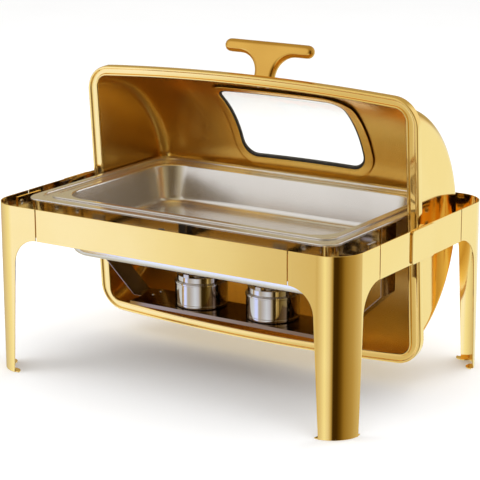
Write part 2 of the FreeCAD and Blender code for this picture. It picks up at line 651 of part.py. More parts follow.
# ---- Pans ----
def outline(half_x, half_y, radius, z):
    """Rounded rectangle at height z, as a wire."""
    upright = rounded_block(half_x, half_y, radius, z, z + 1)
    floor = [face for face in upright.Faces if abs(face.CenterOfMass.z - z) < 1e-6]
    return floor[0].OuterWire


def pan_bowl(half_x, half_y, corner, z_top, depth, taper, floor_radius):
    """Solid tapering bowl with rounded corners and a rounded floor edge."""
    z_floor = z_top - depth
    top = outline(half_x, half_y, corner, z_top)
    bottom = outline(half_x - taper, half_y - taper, corner - taper, z_floor)
    bowl = Part.makeLoft([bottom, top], True, True)
    floor_edges = []
    for edge in bowl.Edges:
        if all(abs(vertex.Z - z_floor) < 1e-6 for vertex in edge.Vertexes):
            floor_edges.append(edge)
    return bowl.makeFillet(floor_radius, floor_edges)


def raised_border(half_x, half_y, corner, width, z, height):
    """Low band that stands on a flange, along its outer edge."""
    outside = rounded_block(half_x, half_y, corner, z, z + height)
    return outside.cut(rounded_block(half_x - width, half_y - width, corner - width, z, z + height))


def food_pan():
    """Full-size food pan: a flange with a raised border and a tapering bowl."""
    seat = FOOD_SEAT_Z
    top = seat + FLANGE_SHEET
    outside, inside = (
        pan_bowl(FOOD_BODY_X - inset, FOOD_BODY_Y - inset, FOOD_CORNER_RADIUS - inset, top,
                 FOOD_PAN_DEPTH - inset, FOOD_TAPER, FOOD_FLOOR_RADIUS - inset)
        for inset in (0, PAN_SHEET)
    )
    flange = rounded_block(FOOD_HALF_X, FOOD_HALF_Y, FOOD_FLANGE_CORNER, seat, top)
    border = raised_border(FOOD_HALF_X, FOOD_HALF_Y, FOOD_FLANGE_CORNER, FOOD_BORDER_WIDTH, top, FLANGE_SHEET)
    return joined([outside, flange, border]).cut(inside)


def water_pan():
    """Deep water pan whose flange has a raised outer rim round the food pan's flange."""
    seat = PAN_SEAT_Z
    top = seat + FLANGE_SHEET
    outside, inside = (
        pan_bowl(WATER_BODY_X - inset, WATER_BODY_Y - inset, WATER_CORNER_RADIUS - inset, top,
                 WATER_PAN_DEPTH - inset, WATER_TAPER, WATER_FLOOR_RADIUS - inset)
        for inset in (0, PAN_SHEET)
    )
    flange = rounded_block(WATER_HALF_X, WATER_HALF_Y, WATER_FLANGE_CORNER, seat, top)
    rim = raised_border(WATER_HALF_X, WATER_HALF_Y, WATER_FLANGE_CORNER, WATER_RIM_WIDTH, top, WATER_RIM_HEIGHT)
    return joined([outside, flange, rim]).cut(inside)


# ---- Fuel holders ----
def turned(points, x, y, z):
    """Body turned about an upright axis from an outline of (radius, height) points."""
    vectors = [Vector(radius, 0, height) for radius, height in points + points[:1]]
    body = Part.Face(Part.makePolygon(vectors)).revolve(Vector(0, 0, 0), Vector(0, 0, 1), 360)
    body.translate(Vector(x, y, z))
    return body


def fuel_cup(x):
    """Round fuel cup with a rolled ring at its mouth."""
    ring_low = CUP_HEIGHT - CUP_RING_HEIGHT
    ring_radius = CUP_RADIUS + CUP_RING_PROUD
    points = [
        (0, 0), (CUP_RADIUS, 0), (CUP_RADIUS, ring_low), (ring_radius, ring_low), (ring_radius, CUP_HEIGHT),
        (CUP_RADIUS - CUP_WALL, CUP_HEIGHT), (CUP_RADIUS - CUP_WALL, CUP_WALL), (0, CUP_WALL),
    ]
    return turned(points, x, CUP_Y, SHELF_TOP_Z)


def damper_pivot_offset():
    """How far the damper's pivot lies behind the cup's centre."""
    collar = CUP_RADIUS - COVER_STEP
    return (COVER_HOLE_RADIUS + DAMPER_OVERLAP + collar) / 2


def fuel_cover(x):
    """Cup cover: edge flange, raised collar, open top, locating skirt and the damper's pivot post."""
    collar = CUP_RADIUS - COVER_STEP
    skirt = CUP_RADIUS - CUP_WALL - COVER_SKIRT_CLEARANCE
    base = CUP_HEIGHT
    shoulder = base + COVER_SHEET
    top = base + COVER_HEIGHT
    points = [
        (COVER_HOLE_RADIUS, top), (collar, top), (collar, shoulder), (CUP_RADIUS, shoulder), (CUP_RADIUS, base),
        (skirt, base), (skirt, base - COVER_SKIRT), (skirt - COVER_SHEET, base - COVER_SKIRT),
        (skirt - COVER_SHEET, base), (collar - COVER_SHEET, base), (collar - COVER_SHEET, top - COVER_SHEET),
        (COVER_HOLE_RADIUS, top - COVER_SHEET),
    ]
    cover = turned(points, x, CUP_Y, SHELF_TOP_Z)
    z = SHELF_TOP_Z + top
    y = CUP_Y + damper_pivot_offset()
    cap_z = z + DAMPER_THICKNESS + 2 * DAMPER_GAP
    post = disc(x, y, z, cap_z, DAMPER_PIVOT_RADIUS)
    cap = disc(x, y, cap_z, cap_z + DAMPER_CAP_THICKNESS, DAMPER_CAP_RADIUS)
    return joined([cover, post, cap])


def fuel_damper(x):
    """Swivelling disc over the cover's opening, with a pivot lug and a finger tab."""
    z0 = SHELF_TOP_Z + CUP_HEIGHT + COVER_HEIGHT + DAMPER_GAP
    z1 = z0 + DAMPER_THICKNESS
    radius = COVER_HOLE_RADIUS + DAMPER_OVERLAP
    pivot_y = CUP_Y + damper_pivot_offset()
    tab_y = CUP_Y - radius - DAMPER_TAB_LENGTH
    half = DAMPER_TAB_WIDTH / 2
    plate = disc(x, CUP_Y, z0, z1, radius)
    lug = disc(x, pivot_y, z0, z1, DAMPER_LUG_RADIUS)
    neck = block(x - DAMPER_LUG_RADIUS, x + DAMPER_LUG_RADIUS, CUP_Y, pivot_y, z0, z1)
    tab = block(x - half, x + half, CUP_Y, tab_y, z0, z1)
    grip = block(x - half, x + half, tab_y, tab_y + DAMPER_THICKNESS, z0, z1 + DAMPER_TAB_WIDTH / 2)
    hole = disc(x, pivot_y, z0, z1, DAMPER_PIVOT_RADIUS + PIVOT_RUNNING_CLEARANCE)
    return joined([plate, lug, neck, tab, grip]).cut(hole)


def add_fuel_holders():
    """Two fuel holders, each a cup, a cover and a damper."""
    for name, shape in (("fuel_cup", fuel_cup), ("fuel_cover", fuel_cover), ("fuel_damper", fuel_damper)):
        add_pair(FIXED_NODES, name, shape(CUP_X))


# ---- Lid, drawn closed about the pivot axis and opened at the end ----
def barrel_arc(grow):
    """Bulging outline of the barrel, offset outwards by grow, as three points."""
    end_x = LID_HALF_LENGTH + grow
    return (Vector(-end_x, 0, LID_END_RADIUS + grow), Vector(0, 0, LID_MID_RADIUS + grow),
            Vector(end_x, 0, LID_END_RADIUS + grow))


def barrel_solid(grow):
    """Full turn of the lid's outline about the pivot axis, offset outwards by grow."""
    left, middle, right = barrel_arc(grow)
    edges = [
        Part.Arc(left, middle, right).toShape(),
        Part.makeLine(right, Vector(right.x, 0, 0)),
        Part.makeLine(Vector(right.x, 0, 0), Vector(left.x, 0, 0)),
        Part.makeLine(Vector(left.x, 0, 0), left),
    ]
    face = Part.Face(Part.Wire(edges))
    body = face.revolve(Vector(0, 0, 0), Vector(1, 0, 0), 360)
    end_circles = []
    for edge in body.Edges:
        if isinstance(edge.Curve, Part.Circle) and edge.Curve.Radius > LID_END_RADIUS / 2:
            if abs(abs(edge.Curve.Center.x) - right.x) < 1e-6 and abs(edge.Curve.Axis.x) > 0.99:
                end_circles.append(edge)
    return body.makeFillet(LID_EDGE_RADIUS + grow, end_circles)


def above_mouth():
    """Half space over the lid's mouth plane, as a large box."""
    reach = LID_MID_RADIUS + HANDLE_REACH
    return block(-RIM_HALF_X, RIM_HALF_X, -reach, reach, RIM_HEIGHT, reach)


def shell_layer(inner_grow, outer_grow):
    """Part of the dome between two offsets of its outline."""
    return barrel_solid(outer_grow).cut(barrel_solid(inner_grow)).common(above_mouth())


def window_prism(grow):
    """Rounded rectangle through the dome, square to it at the window's centre."""
    half_x = WINDOW_HALF_WIDTH + grow
    half_y = WINDOW_HALF_HEIGHT + grow
    body = rounded_block(half_x, half_y, WINDOW_CORNER_RADIUS + grow, LID_END_RADIUS / 2, LID_MID_RADIUS * 1.2)
    body.rotate(Vector(0, 0, 0), Vector(1, 0, 0), 90 - WINDOW_CENTRE_ANGLE)
    return body


def window_ring(inner_grow, outer_grow):
    """Band round the window, through the dome."""
    return window_prism(outer_grow).cut(window_prism(inner_grow))


def handle_turn(shape):
    """Swing a shape drawn along +Z to the handle's place on the front of the dome."""
    shape.rotate(Vector(0, 0, 0), Vector(1, 0, 0), 90 - HANDLE_ANGLE)
    return shape


def handle_outline():
    """T-shaped outline in the XZ plane, from the pivot axis out to the bar's top."""
    top = LID_MID_RADIUS + HANDLE_REACH
    under = top - HANDLE_BAR_HEIGHT
    half = HANDLE_LENGTH / 2
    end = half - HANDLE_BAR_HEIGHT / 2
    middle_z = (top + under) / 2
    stem = HANDLE_STEM_WIDTH / 2
    throat = stem + HANDLE_THROAT_RADIUS
    low = under - HANDLE_THROAT_RADIUS
    bend = HANDLE_THROAT_RADIUS * (1 - math.sin(math.pi / 4))
    root = LID_END_RADIUS
    right = [
        Part.makeLine(Vector(0, 0, top), Vector(end, 0, top)),
        Part.Arc(Vector(end, 0, top), Vector(half, 0, middle_z), Vector(end, 0, under)).toShape(),
        Part.makeLine(Vector(end, 0, under), Vector(throat, 0, under)),
        Part.Arc(Vector(throat, 0, under), Vector(stem + bend, 0, under - bend), Vector(stem, 0, low)).toShape(),
        Part.makeLine(Vector(stem, 0, low), Vector(stem, 0, root)),
        Part.makeLine(Vector(stem, 0, root), Vector(0, 0, root)),
    ]
    left = [mirrored_x(edge) for edge in right]
    return Part.Face(Part.Wire(Part.__sortEdges__(right + left)))


def lid_handle():
    """Cast T handle whose foot is shaped to the dome, with two blind screw holes."""
    body = handle_outline().extrude(Vector(0, HANDLE_THICKNESS, 0))
    body.translate(Vector(0, -HANDLE_THICKNESS / 2, 0))
    body = body.removeSplitter()
    face_edges = []
    for edge in body.Edges:
        flat = all(abs(abs(vertex.Y) - HANDLE_THICKNESS / 2) < 1e-6 for vertex in edge.Vertexes)
        level = abs(edge.Vertexes[0].Y - edge.Vertexes[-1].Y) < 1e-6
        root = all(abs(vertex.Z - LID_END_RADIUS) < 1e-6 for vertex in edge.Vertexes)
        if flat and level and not root:
            face_edges.append(edge)
    body = handle_turn(body.makeFillet(HANDLE_EDGE_RADIUS, face_edges))
    holes = [handle_screw_hole(x) for x in handle_screw_places()]
    return body.cut([barrel_solid(0)] + holes)


def handle_screw_places():
    """X of the two handle screws."""
    return (-HANDLE_SCREW_PITCH / 2, HANDLE_SCREW_PITCH / 2)


def handle_rod(x, low, high, radius):
    """Cylinder in the handle's direction, between two distances from the pivot axis."""
    return handle_turn(rod((x, 0, low), (x, 0, high), radius))


def handle_screw_hole(x):
    """Clearance for one handle screw, through the sheet and into the handle."""
    radius = SCREW_SHANK_RADIUS + SCREW_HOLE_CLEARANCE
    return handle_rod(x, LID_MID_RADIUS - 2 * LID_SHEET, LID_MID_RADIUS + HANDLE_SCREW_DEPTH, radius)


def handle_screw(x):
    """Pan-head screw from inside the dome into the handle, its head cut to the dome's curve."""
    low = LID_MID_RADIUS - LID_SHEET - SCREW_HEAD_HEIGHT
    tip = LID_MID_RADIUS + HANDLE_SCREW_DEPTH - HANDLE_SCREW_END_GAP
    head = handle_rod(x, low, LID_MID_RADIUS, SCREW_HEAD_RADIUS).cut(shell_layer(-LID_SHEET, 2 * LID_SHEET))
    return joined([head, handle_rod(x, low, tip, SCREW_SHANK_RADIUS)])


def lid_end():
    """Right flat end wall of the dome, out to the start of its rounding."""
    radius = LID_END_RADIUS - LID_EDGE_RADIUS
    wall = rod((LID_HALF_LENGTH - LID_SHEET, 0, 0), (LID_HALF_LENGTH, 0, 0), radius)
    return wall.common(above_mouth())


def lid_shell():
    """Thin dome between the end walls: bulging barrel with rounded ends, window and screw holes cut out."""
    holes = [handle_screw_hole(x) for x in handle_screw_places()]
    ends = [lid_end(), mirrored_x(lid_end())]
    return shell_layer(-LID_SHEET, 0).cut([window_prism(0)] + holes + ends)


def bowed_plate(inset, z0, z1):
    """Slab with the rim's outline, inset all round: bowed long edges and rounded corners."""
    half_x = RIM_HALF_X - inset
    end_y = RIM_HALF_Y_END - inset
    mid_y = RIM_HALF_Y_MID - inset
    front = [Vector(-half_x, -end_y, z0), Vector(0, -mid_y, z0), Vector(half_x, -end_y, z0)]
    back = [Vector(half_x, end_y, z0), Vector(0, mid_y, z0), Vector(-half_x, end_y, z0)]
    edges = [
        Part.Arc(*front).toShape(),
        Part.makeLine(front[2], back[0]),
        Part.Arc(*back).toShape(),
        Part.makeLine(back[2], front[0]),
    ]
    slab = Part.Face(Part.Wire(edges)).extrude(Vector(0, 0, z1 - z0))
    return slab.makeFillet(RIM_CORNER_RADIUS - inset, edges_along_z(slab))


def hinge_rivet_places():
    """Y and height of the hinge rivets, lid closed."""
    y = HINGE_HALF_WIDTH - HINGE_RIVET_EDGE
    z = (RIM_HEIGHT + RIM_TOP) / 2
    return [(-y, z), (y, z)]


def hinge_rivet_hole(y, z):
    """Rivet hole through the right skirt and hinge plate."""
    start = RIM_HALF_X - RIM_SKIRT_THICKNESS
    return rod((start, y, z), (HINGE_OUTER_X, y, z), RIVET_SHANK_RADIUS + RIVET_HOLE_CLEARANCE)


def lid_rim():
    """Rim round the mouth: flat flange, upturned skirt, outer bead and inner ridge."""
    low = RIM_HEIGHT - RIM_PLATE
    plate = bowed_plate(0, low, RIM_HEIGHT)
    skirt = bowed_plate(0, RIM_HEIGHT, RIM_TOP).cut(bowed_plate(RIM_SKIRT_THICKNESS, RIM_HEIGHT, RIM_TOP))
    bead = bowed_plate(0, RIM_BOTTOM, low).cut(bowed_plate(RIM_BEAD_WIDTH, RIM_BOTTOM, low))
    ridge_slab = block(-RIM_HALF_X, RIM_HALF_X, -RIM_HALF_Y_MID, RIM_HALF_Y_MID, RIM_BOTTOM, low)
    ridge = barrel_solid(RIM_RIDGE_WIDTH).common(ridge_slab)
    rim = joined([plate, skirt, bead, ridge]).cut(barrel_solid(-LID_SHEET))
    holes = []
    for y, z in hinge_rivet_places():
        hole = hinge_rivet_hole(y, z)
        holes += [hole, mirrored_x(hole)]
    return rim.cut(holes)


def lid_hinge():
    """Right hinge plate: riveted to the skirt, running on the pivot pin at its nose."""
    upper = block(HINGE_INNER_X, HINGE_OUTER_X, -HINGE_HALF_WIDTH, HINGE_HALF_WIDTH, 0, RIM_TOP)
    nose = rod((HINGE_INNER_X, 0, 0), (HINGE_OUTER_X, 0, 0), HINGE_HALF_WIDTH)
    hole = rod((HINGE_INNER_X, 0, 0), (HINGE_OUTER_X, 0, 0), PIVOT_PIN_RADIUS + PIVOT_RUNNING_CLEARANCE)
    rivet_holes = [hinge_rivet_hole(y, z) for y, z in hinge_rivet_places()]
    return joined([upper, nose]).cut([hole] + rivet_holes)


def hinge_rivets():
    """Four rivets that hold the two hinge plates to the skirt."""
    rivets = []
    inner = RIM_HALF_X - RIM_SKIRT_THICKNESS
    for y, z in hinge_rivet_places():
        shank = rod((inner, y, z), (HINGE_OUTER_X, y, z), RIVET_SHANK_RADIUS)
        head = rod((HINGE_OUTER_X, y, z), (HINGE_OUTER_X + RIVET_HEAD_HEIGHT, y, z), RIVET_HEAD_RADIUS)
        tail = rod((inner - RIVET_HEAD_HEIGHT, y, z), (inner, y, z), RIVET_HEAD_RADIUS)
        rivets.append(joined([shank, head, tail]))
    return Part.makeCompound(rivets + [mirrored_x(rivet) for rivet in rivets])


def add_lid():
    """All the pieces that swing with the lid, opened to the rest pose."""
    glass_low = -LID_SHEET - GLASS_THICKNESS
    LID_NODES["lid_shell"] = lid_shell()
    add_pair(LID_NODES, "lid_end", lid_end())
    LID_NODES["lid_rim"] = lid_rim()
    LID_NODES["window_bezel"] = shell_layer(0, BEZEL_THICKNESS).common(window_ring(0, BEZEL_WIDTH))
    retainer = shell_layer(glass_low - RETAINER_THICKNESS, glass_low)
    outer_lip = shell_layer(-LID_SHEET, BEZEL_THICKNESS).common(window_ring(-GASKET_WIDTH, 0))
    inner_lip = retainer.common(window_ring(-GASKET_WIDTH, 0))
    LID_NODES["window_gasket"] = Part.makeCompound([outer_lip, inner_lip])
    LID_NODES["window_glass"] = shell_layer(glass_low, -LID_SHEET).common(window_prism(GLASS_OVERLAP))
    LID_NODES["window_retainer"] = retainer.common(window_ring(0, BEZEL_WIDTH))
    LID_NODES["lid_handle"] = lid_handle()
    screws = [handle_screw(x) for x in handle_screw_places()]
    LID_NODES["handle_screws"] = Part.makeCompound(screws)
    add_pair(LID_NODES, "lid_hinge", lid_hinge())
    LID_NODES["hinge_rivets"] = hinge_rivets()
    for shape in LID_NODES.values():
        shape.rotate(Vector(0, 0, 0), Vector(1, 0, 0), -LID_OPEN_ANGLE)
        shape.translate(Vector(0, 0, PIVOT_Z))


def main():
    """Build every node and write one STEP file for each."""
    os.makedirs("parts", exist_ok=True)
    add_legs()
    add_rails()
    add_joint_plates()
    add_pivots()
    add_carrier()
    add_shelf()
    FIXED_NODES["food_pan"] = food_pan()
    FIXED_NODES["water_pan"] = water_pan()
    add_fuel_holders()
    add_lid()
    for name, shape in {**FIXED_NODES, **LID_NODES}.items():
        shape.exportStep(os.path.join("parts", name + ".step"))
        print(f"{name}: {len(shape.Solids)} solids, valid {shape.isValid()}, {shape.Volume / 1000:.1f} cm3")


main()
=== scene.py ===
"""Finished surfaces of a roll top chafer: gilt stand and domed lid, steel pans, fuel shelf and holders."""

import json
import logging
import math
from dataclasses import dataclass, field
from enum import Enum
from typing import Callable, Iterable, Sequence, Union

import bmesh
import bpy
from mathutils import Matrix, Vector

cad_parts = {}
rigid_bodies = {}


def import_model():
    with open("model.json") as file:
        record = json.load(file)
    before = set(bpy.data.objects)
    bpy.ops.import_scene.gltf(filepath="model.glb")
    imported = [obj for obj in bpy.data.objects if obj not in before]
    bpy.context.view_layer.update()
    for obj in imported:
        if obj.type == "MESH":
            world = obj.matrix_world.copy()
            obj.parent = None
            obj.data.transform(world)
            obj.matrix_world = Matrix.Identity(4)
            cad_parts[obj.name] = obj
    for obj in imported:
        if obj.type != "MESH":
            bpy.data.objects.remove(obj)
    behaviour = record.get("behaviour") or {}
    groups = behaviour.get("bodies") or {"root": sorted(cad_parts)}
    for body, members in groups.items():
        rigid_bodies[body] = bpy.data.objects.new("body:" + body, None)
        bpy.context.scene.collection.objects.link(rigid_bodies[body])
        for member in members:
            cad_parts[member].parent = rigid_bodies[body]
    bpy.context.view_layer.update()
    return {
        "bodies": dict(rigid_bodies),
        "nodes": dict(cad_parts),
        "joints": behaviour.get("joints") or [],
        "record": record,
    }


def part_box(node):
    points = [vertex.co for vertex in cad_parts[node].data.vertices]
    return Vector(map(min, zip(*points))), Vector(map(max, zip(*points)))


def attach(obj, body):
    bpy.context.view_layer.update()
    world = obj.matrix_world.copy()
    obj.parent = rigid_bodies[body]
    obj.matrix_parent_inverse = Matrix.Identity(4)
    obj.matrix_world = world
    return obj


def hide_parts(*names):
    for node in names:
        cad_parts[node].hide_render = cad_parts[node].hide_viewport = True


LOG = logging.getLogger("chafer")
MM = 0.001
CORNER_SPANS = 12
PLATE_THICKNESS = 2.0 * MM
WELD = 2.0e-6
WHITE = (1.0, 1.0, 1.0, 1.0)
FLOOR_SHARES = (0.85, 0.65, 0.45, 0.25, 0.1, 0.02)
Colour = tuple[float, float, float]
Point2 = tuple[float, float]
Number = Union[int, float, "Value"]


class Slot(Enum):
    """Material slots of the record that finishes belong to."""

    GOLD_POLISHED = "gold_polished"
    GOLD_SATIN = "gold_satin"
    STEEL_SATIN = "steel_satin"
    STEEL_POLISHED = "steel_polished"
    WINDOW_GLASS = "window_glass"
    RUBBER_BLACK = "rubber_black"
    NYLON_WHITE = "nylon_white"


# ---- Shader expressions ----
class Value:
    """A number on a shader socket that can be used in a Python expression."""

    def __init__(self, recipe: "Recipe", socket: bpy.types.NodeSocket) -> None:
        """Hold a socket of a recipe's tree."""
        self.recipe = recipe
        self.socket = socket

    def _math(self, operation: str, *terms: Number) -> "Value":
        """Add one Math node."""
        return self.recipe.node("ShaderNodeMath", {"operation": operation}, dict(enumerate(terms)))

    def __add__(self, other: Number) -> "Value":
        """Sum."""
        return self._math("ADD", self, other)

    def __radd__(self, other: Number) -> "Value":
        """Sum with a number in front."""
        return self._math("ADD", other, self)

    def __sub__(self, other: Number) -> "Value":
        """Difference."""
        return self._math("SUBTRACT", self, other)

    def __rsub__(self, other: Number) -> "Value":
        """Difference from a number."""
        return self._math("SUBTRACT", other, self)

    def __mul__(self, other: Number) -> "Value":
        """Product."""
        return self._math("MULTIPLY", self, other)

    def __rmul__(self, other: Number) -> "Value":
        """Product with a number in front."""
        return self._math("MULTIPLY", other, self)

    def __truediv__(self, other: Number) -> "Value":
        """Quotient."""
        return self._math("DIVIDE", self, other)

    def step(self, low: float, high: float) -> "Value":
        """Smooth rise from 0 at low to 1 at high."""
        settings = {"interpolation_type": "SMOOTHSTEP"}
        return self.recipe.node("ShaderNodeMapRange", settings, {"Value": self, "From Min": low, "From Max": high})

    def at_least(self, other: Number) -> "Value":
        """The larger of two values."""
        return self._math("MAXIMUM", self, other)


class Recipe:
    """Node tree of a material or of the studio's surroundings."""

    def __init__(self, tree: bpy.types.NodeTree) -> None:
        """Start with an empty tree."""
        self.tree = tree
        tree.nodes.clear()

    def node(self, kind: str, settings: dict | None = None, inputs: dict | None = None,
             output: int | str = 0) -> Value:
        """Add a node.

        Args:
            kind: The node's type.
            settings: Properties to set first.
            inputs: Values, or links from other nodes, by socket name or number.
            output: Which output to return.

        Returns:
            The chosen output, ready for use in an expression.
        """
        made = self.tree.nodes.new(kind)
        for name, value in (settings or {}).items():
            setattr(made, name, value)
        for key, value in (inputs or {}).items():
            socket = made.inputs[key]
            if isinstance(value, Value):
                self.tree.links.new(value.socket, socket)
            else:
                socket.default_value = value
        return Value(self, made.outputs[output]) if made.outputs else Value(self, made.inputs[0])

    def place(self, stretch: Sequence[float] = (1.0, 1.0, 1.0)) -> Value:
        """Object coordinates in metres, scaled along each axis."""
        coordinates = self.node("ShaderNodeTexCoord", output="Object")
        return self.node("ShaderNodeMapping", inputs={"Vector": coordinates, "Scale": tuple(stretch)})

    def noise(self, per_metre: float, detail: float = 2.0, stretch: Sequence[float] = (1.0, 1.0, 1.0)) -> Value:
        """Noise between 0 and 1 with a given number of features in a metre."""
        inputs = {"Vector": self.place(stretch), "Scale": per_metre, "Detail": detail}
        return self.node("ShaderNodeTexNoise", inputs=inputs)

    def blend(self, share: Number, first: Colour | Value, second: Colour | Value) -> Value:
        """Mix of two colours."""
        ends = [part if isinstance(part, Value) else (*part, 1.0) for part in (first, second)]
        return self.node("ShaderNodeMix", {"data_type": "RGBA"}, {0: share, 6: ends[0], 7: ends[1]}, output=2)

    def relief(self, height: Value, depth: float, below: Value | None = None) -> Value:
        """Bump of a height.

        Args:
            height: Height, between 0 and 1.
            depth: Full depth in metres.
            below: Normal of a coarser bump under this one.

        Returns:
            The normal.
        """
        inputs: dict = {"Height": height, "Distance": depth, "Strength": 1.0}
        if below is not None:
            inputs["Normal"] = below
        return self.node("ShaderNodeBump", inputs=inputs)


def new_material(slot: Slot, inputs: Callable[[Recipe], dict]) -> bpy.types.Material:
    """Material whose surface takes the inputs that a function works out.

    Args:
        slot: The slot that the material belongs to, which names it.
        inputs: Gives the surface shader's inputs, by name.

    Returns:
        The material.
    """
    material = bpy.data.materials.new(slot.value + "_finish")
    material.use_nodes = True
    recipe = Recipe(material.node_tree)
    surface = recipe.node("ShaderNodeBsdfPrincipled", inputs=inputs(recipe))
    recipe.node("ShaderNodeOutputMaterial", inputs={"Surface": surface})
    return material


# ---- Finishes ----
@dataclass(frozen=True)
class Plated:
    """Polished or satin metal: colour drift, polishing haze, long ripples of the sheet and fine lines."""

    slot: Slot
    colour: Colour
    deep: Colour
    roughness: float
    haze: float
    ripple: float
    lines: float
    metallic: float = 1.0
    line_stretch: tuple[float, float, float] = (0.04, 1.0, 1.0)
    lines_per_metre: float = 900.0

    def build(self) -> bpy.types.Material:
        """Make the material."""
        return new_material(self.slot, self.inputs)

    def inputs(self, recipe: Recipe) -> dict:
        """Inputs of the metal's shader.

        Args:
            recipe: The material's tree.

        Returns:
            Values and links by socket name.
        """
        drift = recipe.noise(6.0, 3.0).step(0.3, 0.7)
        haze = recipe.noise(14.0, 4.0) - 0.5
        smudge = recipe.noise(55.0, 3.0).step(0.52, 0.75)
        lines = recipe.noise(self.lines_per_metre, 3.0, self.line_stretch)
        roughness = haze * self.haze + smudge * (self.haze * 0.35) + (lines - 0.5) * (self.haze * 0.8)
        ripples = recipe.relief(recipe.noise(9.0, 1.0), self.ripple)
        return {
            "Base Color": recipe.blend(drift, self.colour, self.deep),
            "Metallic": self.metallic,
            "Roughness": (roughness + self.roughness).at_least(0.02),
            "Normal": recipe.relief(lines, self.lines, ripples),
        }


@dataclass(frozen=True)
class Moulded:
    """Rubber or nylon: a matt skin with a fine grain and slight fading."""

    slot: Slot
    colour: Colour
    faded: Colour
    roughness: float
    grain: float

    def build(self) -> bpy.types.Material:
        """Make the material."""
        return new_material(self.slot, self.inputs)

    def inputs(self, recipe: Recipe) -> dict:
        """Inputs of the skin's shader.

        Args:
            recipe: The material's tree.

        Returns:
            Values and links by socket name.
        """
        grain = recipe.noise(1400.0, 2.0)
        return {
            "Base Color": recipe.blend(recipe.noise(40.0, 3.0).step(0.35, 0.7), self.colour, self.faded),
            "Roughness": grain * 0.2 + (self.roughness - 0.1),
            "Normal": recipe.relief(grain, self.grain),
        }


@dataclass(frozen=True)
class Pane:
    """Clear tempered glass with a faint haze of wiping."""

    slot: Slot
    colour: Colour
    roughness: float

    def build(self) -> bpy.types.Material:
        """Make the material."""
        return new_material(self.slot, self.inputs)

    def inputs(self, recipe: Recipe) -> dict:
        """Inputs of the glass shader.

        Args:
            recipe: The material's tree.

        Returns:
            Values and links by socket name.
        """
        wiped = recipe.noise(30.0, 4.0, (0.3, 1.0, 1.0)).step(0.45, 0.8)
        return {
            "Base Color": (*self.colour, 1.0),
            "Roughness": wiped * 0.02 + self.roughness,
            "IOR": 1.45,
            "Transmission Weight": 1.0,
        }


# PAINTED_DARK_GOLD: a darker copy of the polished gold for the T handle, a painted dark reflection in its colour.
PAINTED_DARK_GOLD = Plated(Slot.GOLD_POLISHED, (0.80, 0.47, 0.10), (0.66, 0.36, 0.07), 0.13, 0.06, 0.00030, 0.000002)
# PAINTED_DARK_STEEL: a dark brown copy of the polished steel for the fuel shelf and hangers, a painted dark
# reflection in its colour.
PAINTED_DARK_STEEL = Plated(Slot.STEEL_POLISHED, (0.34, 0.25, 0.19), (0.26, 0.17, 0.12), 0.14, 0.06, 0.00004, 0.000002)
FINISHES = (
    Plated(Slot.GOLD_POLISHED, (0.95, 0.67, 0.23), (0.93, 0.64, 0.20), 0.08, 0.05, 0.00012, 0.0000015),
    Plated(Slot.GOLD_SATIN, (0.97, 0.64, 0.17), (0.93, 0.58, 0.13), 0.25, 0.04, 0.00005, 0.000002),
    Plated(Slot.STEEL_SATIN, (0.80, 0.765, 0.725), (0.74, 0.70, 0.66), 0.22, 0.06, 0.00005, 0.000003, metallic=0.9),
    Plated(Slot.STEEL_POLISHED, (0.62, 0.565, 0.52), (0.54, 0.48, 0.43), 0.11, 0.05, 0.00004, 0.000002),
    Pane(Slot.WINDOW_GLASS, (0.97, 0.98, 0.975), 0.01),
    Moulded(Slot.RUBBER_BLACK, (0.022, 0.018, 0.014), (0.045, 0.038, 0.030), 0.6, 0.00006),
    Moulded(Slot.NYLON_WHITE, (0.78, 0.77, 0.73), (0.70, 0.68, 0.62), 0.45, 0.00004),
)


# ---- Outlines and sections, in millimetres ----
def eased(points: Sequence[tuple[float, float, float]], steps: int = 4, closed: bool = False) -> list[Point2]:
    """Round the corners of a section.

    Args:
        points: Corners as (across, up, radius).
        steps: How many spans each rounding gets.
        closed: Whether the last corner joins the first.

    Returns:
        The section's points.
    """
    made: list[Point2] = []
    count = len(points)
    for index, (across, up, radius) in enumerate(points):
        here = Vector((across, up))
        if radius <= 0 or (not closed and index in (0, count - 1)):
            made.append((across, up))
            continue
        before = Vector(points[index - 1][:2]) - here
        after = Vector(points[(index + 1) % count][:2]) - here
        half = before.angle(after) / 2
        reach = min(radius / math.tan(half), before.length * 0.49, after.length * 0.49)
        start, end = here + before.normalized() * reach, here + after.normalized() * reach
        for step in range(steps + 1):
            share = step / steps
            curve = start * (1 - share) ** 2 + here * 2 * share * (1 - share) + end * share**2
            made.append((curve.x, curve.y))
    return made


def ring(half_x: float, half_y: float, corner: float, bow: float = 0.0, spans: int = 24) -> list[Point2]:
    """Rounded rectangle with long sides that may bow outwards, anticlockwise from the right side.

    Args:
        half_x: Half the length.
        half_y: Half the depth at the ends.
        corner: Corner radius.
        bow: How far the long sides bulge half-way along.
        spans: Spans along each straight side.

    Returns:
        The outline's points, the same number for any sizes.
    """
    corner = max(corner, 0.5)
    inner_x, inner_y = half_x - corner, half_y - corner
    made: list[Point2] = []
    for quarter, (sign_x, sign_y) in enumerate(((1, 1), (-1, 1), (-1, -1), (1, -1))):
        for step in range(CORNER_SPANS + 1):
            turn = math.radians(90 * (quarter + step / CORNER_SPANS))
            made.append((sign_x * inner_x + corner * math.cos(turn), sign_y * inner_y + corner * math.sin(turn)))
        last, run = made[-1], (-2 * inner_x * sign_x, 0) if quarter % 2 == 0 else (0, -2 * inner_y * sign_y)
        for step in range(1, spans):
            made.append((last[0] + run[0] * step / spans, last[1] + run[1] * step / spans))
    return [(x, y * (1 + bow / half_y * (1 - (x / half_x) ** 2))) for x, y in made]


def mix_rings(first: Sequence[Point2], second: Sequence[Point2], share: float) -> list[Point2]:
    """Outline part of the way between two others with the same number of points."""
    return [(a[0] + (b[0] - a[0]) * share, a[1] + (b[1] - a[1]) * share) for a, b in zip(first, second)]


